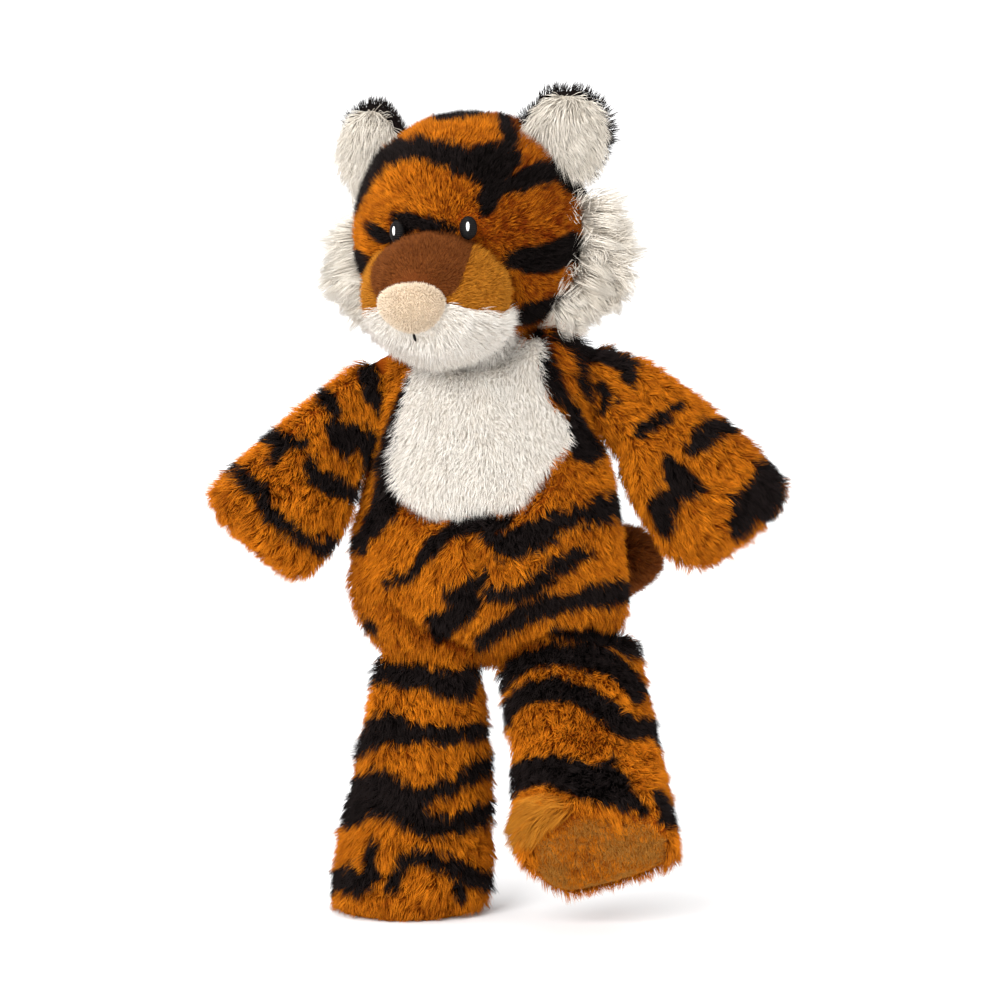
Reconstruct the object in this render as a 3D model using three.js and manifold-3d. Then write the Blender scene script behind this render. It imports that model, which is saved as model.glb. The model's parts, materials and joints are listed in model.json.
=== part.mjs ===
import * as THREE from "three";
import { mergeVertices } from "three/addons/utils/BufferGeometryUtils.js";
import Module from "manifold-3d";

const wasm = await Module();
wasm.setup();

// A plush tiger about 13 inches tall, in millimetres, +Z up.
// Its front faces -Y and its own left side is +X.
// It stands on its right foot, and its left foot is kicked up.

// Fabric and fits
const plushThickness = 2;
const seamGap = 0.3;
const stuffingGap = 0.8;
const overrun = 3;

// Body, measured in its own upright frame
const bodyHeight = 125;
const bodyWidth = 107;
const bodyDepth = 66;
const bodyWidthShares = [0.96, 0.99, 0.99, 0.92, 0.81, 0.76, 0.78];
const bodyDepthShares = [0.8, 1, 1, 0.94, 0.86, 0.8, 0.8];
const bodyBottomPowers = { width: 6, depth: 2.2 };
const bodyTopPowers = { width: 5, depth: 2.4 };
const slouchAngle = -5;

// White panel on the chest
const patchWidth = 68;
const patchHeight = 70;
const patchCentreHeight = 90;

// Neck
const neckRadius = 16;
const neckSink = 1;

// Skull, measured from its own centre
const skullWidth = 91;
const skullDepth = 82;
const skullHeight = 89;
const skullWidthShares = [0.98, 1.02, 1.02, 0.99, 0.93];
const skullDepthShares = [0.96, 1, 1, 0.98, 0.93];
const skullPowers = { width: 2.3, depth: 2.2 };
const skullRise = 48;
const headTurnAngle = -24;
const headLevelAngle = 3;

// Muzzle
const muzzleWidth = 59;
const muzzleDepth = 54;
const muzzleHeight = 51;
const muzzleForward = 33;
const muzzleDrop = 27;
const chinDrop = 29;
const bridgeWidth = 43;
const bridgeHeight = 27;
const bridgeDrop = 16;

// Nose, mouth and eyes
const noseWidth = 27;
const noseHeight = 19;
const noseDepth = 13;
const noseDrop = 33;
const mouthLength = 7;
const mouthWidth = 1.8;
const mouthDrop = 44;
const eyeWidth = 6;
const eyeHeight = 10.4;
const eyeDepth = 4;
const eyeSpacing = 29;
const eyeDrop = 0;

// Ears
const earWidth = 37;
const earBackDepth = 6;
const earRootRadius = 2.5;
const earDiscRise = 8;
const earRim = 2.4;
const earPlaceAngle = 51;
const earLeanAngle = 42;
const earYawAngle = 20;
const earForward = 3;
const earSeat = 0.5;
const earRoundPower = 4;

// White pile at the cheeks
const ruffReach = 60;
const ruffWidth = 64;
const ruffHeight = 58;
const ruffDepth = 11;
const ruffDrop = 14;
const ruffBack = 5;

// Arms
const armLength = 86;
const armWidth = 57;
const armDepth = 27;
const armRootRadius = 4;
const armSeamLength = 41;
const armSeamHeight = 101;
const armSeat = 4.5;
const armWidthShares = [0.82, 0.88, 0.9, 0.94, 0.98, 0.98];
const armDepthShares = [0.3, 0.52, 0.78, 0.96, 1, 0.92];
const armRoundShare = 0.66;
const armRoundPower = 3.2;
const armTurnShare = 0.6;
const armDroopAngles = { left: 46, right: 36 };
const armBendAngles = { left: 10, right: 10 };
const armForwardAngles = { left: 0, right: 42 };

// Legs
const legLength = 98;
const legRootWidths = { left: 55, right: 44 };
const legFootWidth = 59;
const legThighDepth = 33;
const footDepth = 55;
const legRootRadius = 5;
const hipSpacing = 58;
const hipDrops = { left: 3.2, right: 2 };
const toeForward = 9;
const footRound = 8;
const soleMargin = 4.5;
const legWidthShares = [0, 0.2, 0.42, 0.66, 0.9, 1.08, 1];
const legDepthShares = [0, 0.46, 0.82, 1, 1, 1, 1];
const footGrowthShares = [0, 0, 0, 0.06, 0.3, 0.82, 1];
const legLeanAngles = { left: 7, right: -5 };
const footTwistAngles = { left: -18, right: -8 };
const kneeBendAngles = { left: 15, right: 0 };
const kneeShare = 0.45;
const kickHeight = 14;
const largestKick = 60;

// Tail
const tailWidth = 23;
const tailRootRadius = 4;
const tailRootWidth = 17;
const tailRootHeight = 24;
const tailRootAside = 9;
const tailReach = 61;
const tailRise = 11;
const tailBulge = 17;
const tailTipSink = 9;
const tailSeat = 1.2;
const tailWidthShares = [0, 0.62, 0.92, 1, 1, 1];
const tailCurlShares = { firstAside: 0.33, secondReach: 0.8, secondBulge: 1.3 };
const tailRoundShare = 0.7;
const tailRoundPower = 2;

// Facets
const roundSides = 16;
const limbSides = 12;
const smallSides = 12;
const bodyRingCount = 11;
const skullRingCount = 11;
const grooveSides = 12;
const ballRingShare = 0.6;
const beadAngles = [30, 60];
const bendSteps = 24;
const solveSteps = 24;

const sides = { left: 1, right: -1 };
const radians = THREE.MathUtils.degToRad;
const point = (x, y, z) => new THREE.Vector3(x, y, z);

// Colours
const colours = {
  orange: 0xb4691a,
  black: 0x161313,
  white: 0xeee8e1,
  golden: 0xa06a1e,
  brown: 0x643c23,
  peach: 0xebcdb4,
  tan: 0xaa732d,
  tail: 0x6e3c19,
  fibre: 0xe6e4df,
};

function plushMaterial(name) {
  return new THREE.MeshStandardMaterial({ color: colours[name], roughness: 0.95, metalness: 0 });
}

// A smooth value between shares that are given at even steps from 0 to 1.
function shareAt(shares, t) {
  const place = THREE.MathUtils.clamp(t, 0, 1) * (shares.length - 1);
  const index = Math.min(Math.floor(place), shares.length - 2);
  const before = shares[Math.max(index - 1, 0)];
  const after = shares[Math.min(index + 2, shares.length - 1)];
  const from = shares[index];
  const to = shares[index + 1];
  const u = place - index;
  const slopeIn = (to - before) / 2;
  const slopeOut = (after - from) / 2;
  const rise = 3 * (to - from) - 2 * slopeIn - slopeOut;
  const settle = 2 * (from - to) + slopeIn + slopeOut;
  return from + slopeIn * u + rise * u * u + settle * u * u * u;
}

function roundedEnd(t, power) {
  return Math.pow(Math.max(1 - Math.pow(Math.abs(t), power), 0), 1 / power);
}

const ease = (t) => THREE.MathUtils.smoothstep(t, 0, 1);

// A closed body through elliptical rings, closed by a point at each end.
// Each ring has a centre and two half axes, across and deep.
function throughRings(start, rings, end, sideCount) {
  const places = [start, end];
  for (const ring of rings) {
    for (let side = 0; side < sideCount; side += 1) {
      const turn = (2 * Math.PI * side) / sideCount;
      const place = ring.centre.clone();
      place.addScaledVector(ring.across, Math.cos(turn));
      place.addScaledVector(ring.deep, Math.sin(turn));
      places.push(place);
    }
  }
  const corner = (ring, side) => 2 + ring * sideCount + (side % sideCount);
  const last = rings.length - 1;
  const faces = [];
  for (let side = 0; side < sideCount; side += 1) {
    faces.push([0, corner(0, side + 1), corner(0, side)]);
    faces.push([1, corner(last, side), corner(last, side + 1)]);
    for (let ring = 0; ring < last; ring += 1) {
      faces.push([corner(ring, side), corner(ring, side + 1), corner(ring + 1, side + 1)]);
      faces.push([corner(ring, side), corner(ring + 1, side + 1), corner(ring + 1, side)]);
    }
  }
  const geometry = new THREE.BufferGeometry().setFromPoints(places);
  const outward = signedVolume(places, faces) > 0;
  geometry.setIndex(faces.flatMap(([a, b, c]) => (outward ? [a, b, c] : [a, c, b])));
  return geometry;
}

function signedVolume(places, faces) {
  const spread = point(0, 0, 0);
  return faces.reduce((sum, [a, b, c]) => {
    spread.crossVectors(places[b], places[c]);
    return sum + spread.dot(places[a]);
  }, 0);
}

function toSolid(geometry) {
  const bare = geometry.clone();
  bare.deleteAttribute("normal");
  bare.deleteAttribute("uv");
  const merged = mergeVertices(bare);
  return new wasm.Manifold(new wasm.Mesh({
    numProp: 3,
    vertProperties: new Float32Array(merged.attributes.position.array),
    triVerts: new Uint32Array(merged.index.array),
  }));
}

function toGeometry(solid) {
  const mesh = solid.getMesh();
  const geometry = new THREE.BufferGeometry();
  geometry.setAttribute("position", new THREE.BufferAttribute(new Float32Array(mesh.vertProperties), 3));
  geometry.setIndex(new THREE.BufferAttribute(new Uint32Array(mesh.triVerts), 1));
  const flat = geometry.toNonIndexed();
  flat.computeVertexNormals();
  return flat;
}

function piece(name, solid, colour) {
  const mesh = new THREE.Mesh(toGeometry(solid), plushMaterial(colour));
  mesh.name = name;
  return mesh;
}

// A unit ball scaled to three half sizes, then placed.
function ellipsoid(halfSizes, matrix, sideCount) {
  const geometry = new THREE.SphereGeometry(1, sideCount, Math.ceil(sideCount * ballRingShare));
  geometry.rotateX(Math.PI / 2);
  geometry.scale(halfSizes.x, halfSizes.y, halfSizes.z);
  geometry.applyMatrix4(matrix);
  return toSolid(geometry);
}

const moved = (x, y, z) => new THREE.Matrix4().makeTranslation(x, y, z);

// An elliptical prism along Y, from the place y = 0 towards the front.
function frontPrism(halfWidth, halfHeight, depth, x, z) {
  const outline = new THREE.Shape();
  outline.absellipse(x, z, halfWidth, halfHeight, 0, 2 * Math.PI);
  const geometry = new THREE.ExtrudeGeometry(outline, {
    depth,
    bevelEnabled: false,
    curveSegments: roundSides / 2,
  });
  geometry.rotateX(Math.PI / 2);
  return toSolid(geometry);
}

// A round groove along an axis that a seam bead turns in.
function groove(radius, length, matrix) {
  const outer = (radius + seamGap) / Math.cos(Math.PI / grooveSides);
  const geometry = new THREE.CylinderGeometry(outer, outer, length + 2 * seamGap, grooveSides);
  geometry.applyMatrix4(matrix);
  return toSolid(geometry);
}

// A body of rings stacked along Z, such as the trunk or the skull.
function stackedHalfSizes(form, t, inset) {
  const powers = t < 0.5 ? form.bottomPowers : form.topPowers;
  const reach = 2 * t - 1;
  return {
    width: ((form.width / 2) * shareAt(form.widthShares, t) - inset) * roundedEnd(reach, powers.width),
    depth: ((form.depth / 2) * shareAt(form.depthShares, t) - inset) * roundedEnd(reach, powers.depth),
  };
}

function stackedSolid(form, inset) {
  const height = form.height - 2 * inset;
  const rings = [];
  for (let ring = 1; ring < form.ringCount; ring += 1) {
    const t = (1 - Math.cos((Math.PI * ring) / form.ringCount)) / 2;
    const half = stackedHalfSizes(form, t, inset);
    rings.push({
      centre: point(0, 0, form.bottom + inset + t * height),
      across: point(half.width, 0, 0),
      deep: point(0, half.depth, 0),
    });
  }
  const start = point(0, 0, form.bottom + inset);
  const end = point(0, 0, form.bottom + inset + height);
  return toSolid(throughRings(start, rings, end, roundSides));
}

function halfSizesAtHeight(form, z) {
  return stackedHalfSizes(form, (z - form.bottom) / form.height, 0);
}

const trunkForm = {
  width: bodyWidth,
  depth: bodyDepth,
  height: bodyHeight,
  bottom: 0,
  widthShares: bodyWidthShares,
  depthShares: bodyDepthShares,
  bottomPowers: bodyBottomPowers,
  topPowers: bodyTopPowers,
  ringCount: bodyRingCount,
};

const skullForm = {
  width: skullWidth,
  depth: skullDepth,
  height: skullHeight,
  bottom: -skullHeight / 2,
  widthShares: skullWidthShares,
  depthShares: skullDepthShares,
  bottomPowers: skullPowers,
  topPowers: skullPowers,
  ringCount: skullRingCount,
};

// How far along a limb a ring lies. An inner form ends earlier, and only its rounded end moves.
function distanceAt(t, roundShare, length, inset) {
  const start = roundShare * length;
  if (t <= roundShare) {
    return t * length;
  }
  return start + ((t - roundShare) / (1 - roundShare)) * (length - inset - start);
}

// A limb gives the ring at a share of its length, and its root size.
// Its seam lies along its own X, where a bead turns in a groove of what carries it.
function limbSolid(limb, inset, root) {
  const shares = root === "closed" ? limb.ringShares.slice(2) : limb.ringShares;
  const rings = shares.map((share) => limb.ringAt(share, inset));
  const seam = limb.ringAt(0, inset);
  const inward = seam.deep.clone().cross(seam.across).normalize();
  if (inward.dot(limb.ringAt(0.5, inset).centre) > 0) {
    inward.negate();
  }
  let start = limb.ringAt(limb.ringShares[1], inset).centre;
  if (root === "bead") {
    start = inward.clone().multiplyScalar(limb.rootRadius);
    for (const angle of beadAngles) {
      rings.unshift({
        centre: inward.clone().multiplyScalar(limb.rootRadius * Math.sin(radians(angle))),
        across: seam.across.clone().multiplyScalar(Math.cos(radians(angle))),
        deep: seam.deep.clone().multiplyScalar(Math.cos(radians(angle))),
      });
    }
  }
  if (root === "open") {
    start = inward.clone().multiplyScalar(limb.rootRadius + overrun);
    rings.unshift({ centre: start.clone(), across: seam.across, deep: seam.deep });
  }
  return toSolid(throughRings(start, rings, limb.endAt(inset), limbSides));
}

function limbSkin(limb) {
  return limbSolid(limb, 0, "bead").subtract(limbSolid(limb, plushThickness, "open"));
}

function limbStuffing(limb) {
  return limbSolid(limb, plushThickness + stuffingGap, "closed");
}

// The seam frame of an arm has X along the seam, upwards, Z outwards and Y to the side.
function armLimb(side, seamTilt) {
  const angleAt = (t) => {
    return radians(armDroopAngles[side] + armBendAngles[side] * (2 * t - 1)) + seamTilt;
  };
  const centreAt = (distance) => {
    const centre = point(0, 0, 0);
    const stride = distance / bendSteps;
    for (let step = 0; step < bendSteps; step += 1) {
      const angle = angleAt(((step + 0.5) * stride) / armLength);
      centre.add(point(-Math.sin(angle) * stride, 0, Math.cos(angle) * stride));
    }
    return centre;
  };
  return {
    rootRadius: armRootRadius,
    ringShares: [0, 0.08, 0.18, 0.32, 0.48, 0.64, 0.78, 0.88, 0.95, 0.985],
    ringAt(t, inset) {
      const distance = distanceAt(t, armRoundShare, armLength, inset);
      const turn = angleAt(t) * ease(t / armTurnShare);
      const end = roundedEnd(Math.max((t - armRoundShare) / (1 - armRoundShare), 0), armRoundPower);
      const halfWidth = ((armWidth / 2) * shareAt(armWidthShares, t) - inset) * end;
      const halfDepth = ((armDepth / 2) * shareAt(armDepthShares, t) - inset) * end;
      return {
        centre: centreAt(distance),
        across: point(Math.cos(turn), 0, Math.sin(turn)).multiplyScalar(halfWidth),
        deep: point(0, 1, 0).multiplyScalar(halfDepth),
      };
    },
    endAt(inset) {
      return centreAt(armLength - inset);
    },
  };
}

// The hip frame of a leg has X along the seam, Z up and Y to the back.
function legLimb(side, kickAngle) {
  const lean = Math.tan(radians(legLeanAngles[side]));
  const pitchAt = (t) => {
    const bent = ease((t - kneeShare) / (1 - kneeShare));
    return radians(kickAngle + kneeBendAngles[side] * bent);
  };
  const centreAt = (distance) => {
    const centre = point(0, 0, 0);
    const stride = distance / bendSteps;
    for (let step = 0; step < bendSteps; step += 1) {
      const pitch = pitchAt(((step + 0.5) * stride) / legLength);
      centre.add(point(lean * stride, -Math.sin(pitch) * stride, -Math.cos(pitch) * stride));
    }
    return centre;
  };
  const roundShare = 1 - footRound / legLength;
  return {
    rootRadius: legRootRadius,
    ringShares: [0, 0.07, 0.16, 0.3, 0.46, 0.62, 0.76, 0.86, 0.92, 0.96, 0.985, 1],
    ringAt(t, inset) {
      const distance = distanceAt(t, roundShare, legLength, inset);
      const pitch = pitchAt(t);
      const twist = radians(footTwistAngles[side]) * ease(t);
      const right = point(1, 0, 0);
      const back = point(0, Math.cos(pitch), -Math.sin(pitch));
      const across = right.clone().multiplyScalar(Math.cos(twist)).addScaledVector(back, Math.sin(twist));
      const deep = back.clone().multiplyScalar(Math.cos(twist)).addScaledVector(right, -Math.sin(twist));
      const round = footRound - inset;
      const into = THREE.MathUtils.clamp((t - roundShare) / (1 - roundShare), 0, 1);
      const trim = round * (1 - Math.sqrt(1 - into * into));
      const width = THREE.MathUtils.lerp(legRootWidths[side], legFootWidth, shareAt(legWidthShares, t));
      const thigh = THREE.MathUtils.lerp(2 * legRootRadius, legThighDepth, shareAt(legDepthShares, t));
      const growth = shareAt(footGrowthShares, t);
      const depth = THREE.MathUtils.lerp(thigh, footDepth, growth);
      const centre = centreAt(distance).addScaledVector(deep, -toeForward * growth);
      return {
        centre,
        across: across.multiplyScalar(width / 2 - inset - trim),
        deep: deep.multiplyScalar(depth / 2 - inset - trim),
      };
    },
    endAt(inset) {
      return this.ringAt(1, inset).centre;
    },
  };
}

// The sole is the part of the foot's shell that lies inside a prism along the foot.
function solePrism(limb, margin) {
  const foot = limb.ringAt(1 - footRound / legLength, 0);
  const down = foot.deep.clone().cross(foot.across).normalize();
  if (down.z > 0) {
    down.negate();
  }
  const shrink = (vector) => vector.clone().setLength(vector.length() - margin);
  const ring = (distance) => ({
    centre: foot.centre.clone().addScaledVector(down, distance),
    across: shrink(foot.across),
    deep: shrink(foot.deep),
  });
  const top = ring(0);
  const bottom = ring(footRound + overrun);
  return toSolid(throughRings(top.centre, [top, bottom], bottom.centre, limbSides));
}

// The seam frame of the tail has X along the seam, upwards, and Z away from the back.
function tailLimb() {
  const reach = tailReach - tailRootAside;
  const path = new THREE.CubicBezierCurve3(
    point(0, 0, 0),
    point(0, tailBulge * tailCurlShares.firstAside, tailBulge),
    point(tailRise / 2, reach * tailCurlShares.secondReach, tailBulge * tailCurlShares.secondBulge),
    point(tailRise, reach, -tailTipSink),
  );
  const total = path.getLength();
  return {
    rootRadius: tailRootRadius,
    ringShares: [0, 0.1, 0.22, 0.36, 0.52, 0.68, 0.8, 0.9, 0.96, 0.99],
    ringAt(t, inset) {
      const share = distanceAt(t, tailRoundShare, total, inset) / total;
      const along = path.getTangentAt(share);
      const up = point(1, 0, 0).addScaledVector(along, -along.x).normalize();
      const outward = along.clone().cross(up).normalize();
      const end = roundedEnd(Math.max((t - tailRoundShare) / (1 - tailRoundShare), 0), tailRoundPower);
      const growth = shareAt(tailWidthShares, t);
      const width = THREE.MathUtils.lerp(tailRootWidth, tailWidth, growth);
      const depth = THREE.MathUtils.lerp(2 * tailRootRadius, tailWidth, growth);
      return {
        centre: path.getPointAt(share),
        across: up.multiplyScalar((width / 2 - inset) * end),
        deep: outward.multiplyScalar((depth / 2 - inset) * end),
      };
    },
    endAt(inset) {
      return path.getPointAt(1 - inset / total);
    },
  };
}

// The ear is a disc on a straight seam: X along the seam, Z up the ear and Y to its back.
function earLimb(rim) {
  const radius = earWidth / 2 - rim;
  const height = earDiscRise + radius;
  return {
    rootRadius: earRootRadius,
    ringShares: [0, 0.12, 0.3, 0.5, 0.68, 0.82, 0.92, 0.975],
    ringAt(t) {
      const halfWidth = Math.sqrt(radius * radius - (t * height - earDiscRise) ** 2);
      const thickness = THREE.MathUtils.lerp(earRootRadius, earBackDepth / 2, ease(t));
      const halfDepth = thickness * roundedEnd(t, earRoundPower);
      return {
        centre: point(0, 0, t * height),
        across: point(halfWidth, 0, 0),
        deep: point(0, halfDepth, 0),
      };
    },
    endAt() {
      return point(0, 0, height);
    },
  };
}

// Keeps the part of a solid on one side of its own plane y = 0, with half the seam gap left free.
function halfAlongY(solid, direction) {
  const box = new THREE.BoxGeometry(2 * earWidth, earWidth, 2 * earWidth + 2 * earDiscRise);
  box.translate(0, direction * (earWidth / 2 + seamGap / 2), 0);
  return solid.intersect(toSolid(box));
}

// A frame for a seam: its place, and X along the seam, Z outwards.
function seamMatrix(place, along, outward) {
  const x = along.clone().normalize();
  const z = outward.clone().addScaledVector(x, -outward.dot(x)).normalize();
  const y = z.clone().cross(x);
  return new THREE.Matrix4().makeBasis(x, y, z).setPosition(place);
}

function groupAt(matrix) {
  const group = new THREE.Group();
  group.applyMatrix4(matrix);
  return group;
}

// Laid along X instead of Y, for a groove in a seam frame.
const alongSeam = (matrix) => matrix.clone().multiply(new THREE.Matrix4().makeRotationZ(Math.PI / 2));

function armSeam(side) {
  const low = armSeamHeight - armSeamLength / 2;
  const high = armSeamHeight + armSeamLength / 2;
  const direction = sides[side];
  const lowEdge = point(direction * halfSizesAtHeight(trunkForm, low).width, 0, low);
  const highEdge = point(direction * halfSizesAtHeight(trunkForm, high).width, 0, high);
  const along = highEdge.clone().sub(lowEdge).normalize();
  const outward = point(direction * along.z, 0, -direction * along.x);
  const place = lowEdge.add(highEdge).multiplyScalar(0.5).addScaledVector(outward, armSeat);
  const tilt = Math.atan2(Math.abs(along.x), along.z);
  const forward = radians(direction * -armForwardAngles[side]);
  const matrix = seamMatrix(place, along, outward);
  return { matrix: matrix.multiply(new THREE.Matrix4().makeRotationX(forward)), tilt };
}

function tailSeam() {
  const half = halfSizesAtHeight(trunkForm, tailRootHeight);
  const share = tailRootAside / half.width;
  const back = half.depth * Math.sqrt(1 - share * share);
  const outward = point(tailRootAside / half.width ** 2, back / half.depth ** 2, 0).normalize();
  const place = point(tailRootAside, back, tailRootHeight).addScaledVector(outward, tailSeat);
  return seamMatrix(place, point(0, 0, 1), outward);
}

function earSeam(side) {
  const direction = sides[side];
  const rise = (skullHeight / 2) * Math.cos(radians(earPlaceAngle));
  const half = halfSizesAtHeight(skullForm, rise);
  const place = point(direction * half.width, -earForward, rise);
  const lean = new THREE.Matrix4().makeRotationY(radians(direction * earLeanAngle));
  const yaw = new THREE.Matrix4().makeRotationZ(radians(direction * earYawAngle));
  const turn = yaw.multiply(lean);
  const outward = point(0, 0, earSeat).applyMatrix4(turn);
  return moved(place.x + outward.x, place.y + outward.y, place.z + outward.z).multiply(turn);
}

// The trunk frame leans over to the toy's right, above its hips.
const slouch = new THREE.Matrix4().makeRotationY(radians(slouchAngle));
const hipInTrunk = (side) => point(sides[side] * (hipSpacing / 2), 0, -hipDrops[side]);
const trunkHeight = legLength - hipInTrunk("right").applyMatrix4(slouch).z;
const trunkMatrix = moved(0, 0, trunkHeight).multiply(slouch);
const hips = {
  left: hipInTrunk("left").applyMatrix4(trunkMatrix),
  right: hipInTrunk("right").applyMatrix4(trunkMatrix),
};

// The left leg is kicked forward until its foot clears the floor by the height of the kick.
function lowestPoint(solid) {
  return solid.boundingBox().min[2];
}

function kickToClear() {
  let low = 0;
  let high = largestKick;
  for (let step = 0; step < solveSteps; step += 1) {
    const middle = (low + high) / 2;
    const foot = lowestPoint(limbSolid(legLimb("left", middle), 0, "bead"));
    if (foot + hips.left.z > kickHeight) {
      high = middle;
    } else {
      low = middle;
    }
  }
  return high;
}

const kickAngles = { left: kickToClear(), right: 0 };

const neckPlace = point(0, 0, bodyHeight - neckSink);
const headMatrix = moved(neckPlace.x, neckPlace.y, neckPlace.z)
  .multiply(new THREE.Matrix4().makeRotationY(radians(headLevelAngle)))
  .multiply(moved(0, 0, skullRise))
  .multiply(new THREE.Matrix4().makeRotationZ(radians(headTurnAngle)));
const neckCut = (neckRadius + seamGap) / Math.cos(Math.PI / roundSides);
const ball = (radius, place) => {
  return ellipsoid(point(radius, radius, radius), moved(place.x, place.y, place.z), roundSides);
};

function bodyCuts() {
  const cuts = [ball(neckCut, neckPlace)];
  for (const side of Object.keys(sides)) {
    const arm = alongSeam(armSeam(side).matrix);
    cuts.push(groove(armRootRadius, armSeamLength, arm));
    const hip = moved(hips[side].x, hips[side].y, hips[side].z);
    const inTrunk = trunkMatrix.clone().invert().multiply(alongSeam(hip));
    cuts.push(groove(legRootRadius, legRootWidths[side], inTrunk));
  }
  cuts.push(groove(tailRootRadius, tailRootWidth, alongSeam(tailSeam())));
  return cuts.reduce((joined, cut) => joined.add(cut));
}

function bodyPieces() {
  const cuts = bodyCuts();
  const shell = stackedSolid(trunkForm, 0).subtract(stackedSolid(trunkForm, plushThickness)).subtract(cuts);
  const patch = (grow) => {
    const halfWidth = patchWidth / 2 + grow;
    const halfHeight = patchHeight / 2 + grow;
    return frontPrism(halfWidth, halfHeight, bodyDepth, 0, patchCentreHeight);
  };
  const stuffing = stackedSolid(trunkForm, plushThickness + stuffingGap).subtract(cuts);
  return [
    piece("body_skin", shell.subtract(patch(seamGap)), "orange"),
    piece("belly_patch", shell.intersect(patch(0)), "white"),
    piece("body_stuffing", stuffing, "fibre"),
  ];
}

function muzzleSolid(inset) {
  const half = point(muzzleWidth / 2 - inset, muzzleDepth / 2 - inset, muzzleHeight / 2 - inset);
  return ellipsoid(half, moved(0, -muzzleForward, -muzzleDrop), roundSides);
}

// Everything below a height, as a block as wide as the skull.
function blockBelow(height) {
  const box = new THREE.BoxGeometry(2 * skullWidth, 2 * skullDepth, skullHeight);
  box.translate(0, 0, height - skullHeight / 2);
  return toSolid(box);
}

function muzzlePieces(cut) {
  const shell = muzzleSolid(0).subtract(muzzleSolid(plushThickness)).subtract(cut);
  const bridge = (grow) => {
    const halfWidth = bridgeWidth / 2 + grow;
    const halfHeight = bridgeHeight / 2 + grow;
    return frontPrism(halfWidth, halfHeight, skullDepth, 0, -bridgeDrop);
  };
  const upper = shell.subtract(blockBelow(-chinDrop + seamGap));
  const cheeks = upper.subtract(bridge(seamGap)).decompose();
  const byPlace = cheeks.sort((a, b) => a.boundingBox().min[0] - b.boundingBox().min[0]);
  return [
    piece("nose_bridge", upper.intersect(bridge(0)), "brown"),
    piece("muzzle_right", byPlace[0], "golden"),
    piece("muzzle_left", byPlace[byPlace.length - 1], "golden"),
    piece("muzzle_chin", shell.intersect(blockBelow(-chinDrop)), "white"),
  ];
}

// The front of the muzzle at a height below the skull's centre, and how far its surface leans.
function muzzleFront(drop) {
  const share = (drop - muzzleDrop) / (muzzleHeight / 2);
  const reach = Math.sqrt(1 - share * share);
  return {
    place: point(0, -muzzleForward - (muzzleDepth / 2) * reach, -drop),
    lean: Math.atan2(share / muzzleHeight, reach / muzzleDepth),
  };
}

function facePieces(skullCut, muzzleCut) {
  const nose = muzzleFront(noseDrop);
  const noseHalf = point(noseWidth / 2, noseDepth / 2, noseHeight / 2);
  const mouth = muzzleFront(mouthDrop);
  const mouthHalf = point(mouthWidth / 2, mouthWidth / 2 + seamGap, mouthLength / 2);
  const onMuzzle = (front) => {
    const matrix = moved(front.place.x, front.place.y, front.place.z);
    return matrix.multiply(new THREE.Matrix4().makeRotationX(front.lean));
  };
  const pieces = [
    piece("nose", ellipsoid(noseHalf, onMuzzle(nose), smallSides).subtract(muzzleCut), "peach"),
    piece("mouth_stitch", ellipsoid(mouthHalf, onMuzzle(mouth), smallSides).subtract(muzzleCut), "black"),
  ];
  const half = halfSizesAtHeight(skullForm, -eyeDrop);
  const eyeHalf = point(eyeWidth / 2, eyeDepth / 2, eyeHeight / 2);
  for (const [side, direction] of Object.entries(sides)) {
    const x = direction * (eyeSpacing / 2);
    const y = -half.depth * Math.sqrt(1 - (x / half.width) ** 2);
    const yaw = Math.atan2(x / half.width ** 2, -y / half.depth ** 2);
    const matrix = moved(x, y, -eyeDrop).multiply(new THREE.Matrix4().makeRotationZ(yaw));
    pieces.push(piece(`eye_${side}`, ellipsoid(eyeHalf, matrix, smallSides).subtract(skullCut), "black"));
  }
  return pieces;
}

function ruffPiece(side, cut) {
  const half = point(ruffWidth / 2, ruffDepth / 2, ruffHeight / 2);
  const place = moved(sides[side] * (ruffReach - ruffWidth / 2), ruffBack, -ruffDrop);
  return piece(`cheek_ruff_${side}`, ellipsoid(half, place, roundSides).subtract(cut), "white");
}

function earGroup(side) {
  const group = groupAt(earSeam(side));
  const back = halfAlongY(limbSolid(earLimb(0), 0, "bead"), 1);
  const front = halfAlongY(limbSolid(earLimb(earRim), 0, "bead"), -1);
  group.add(piece(`ear_${side}_back`, back, "black"));
  group.add(piece(`ear_${side}_front`, front, "white"));
  return group;
}

function headGroup() {
  const group = groupAt(headMatrix);
  const neckInHead = ball(neckCut, neckPlace.clone().applyMatrix4(headMatrix.clone().invert()));
  const skullCut = stackedSolid(skullForm, -seamGap);
  const muzzleCut = muzzleSolid(-seamGap);
  const grooves = Object.keys(sides).map((side) => {
    return groove(earRootRadius, earWidth - earDiscRise, alongSeam(earSeam(side)));
  });
  const cuts = neckInHead.add(grooves[0]).add(grooves[1]);
  const shell = stackedSolid(skullForm, 0).subtract(stackedSolid(skullForm, plushThickness));
  const inside = plushThickness + stuffingGap;
  const stuffing = stackedSolid(skullForm, inside).add(muzzleSolid(inside)).subtract(cuts);
  group.add(piece("head_skin", shell.subtract(muzzleCut).subtract(cuts), "orange"));
  group.add(piece("head_stuffing", stuffing, "fibre"));
  group.add(...muzzlePieces(skullCut.add(neckInHead)));
  group.add(...facePieces(skullCut, muzzleCut));
  for (const side of Object.keys(sides)) {
    const ear = groove(earRootRadius, earWidth, alongSeam(earSeam(side)));
    group.add(ruffPiece(side, skullCut.add(muzzleCut).add(ear)));
    group.add(earGroup(side));
  }
  return group;
}

function armGroup(side) {
  const seam = armSeam(side);
  const limb = armLimb(side, seam.tilt);
  const group = groupAt(seam.matrix);
  group.add(piece(`arm_${side}_skin`, limbSkin(limb), "orange"));
  group.add(piece(`arm_${side}_stuffing`, limbStuffing(limb), "fibre"));
  return group;
}

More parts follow.
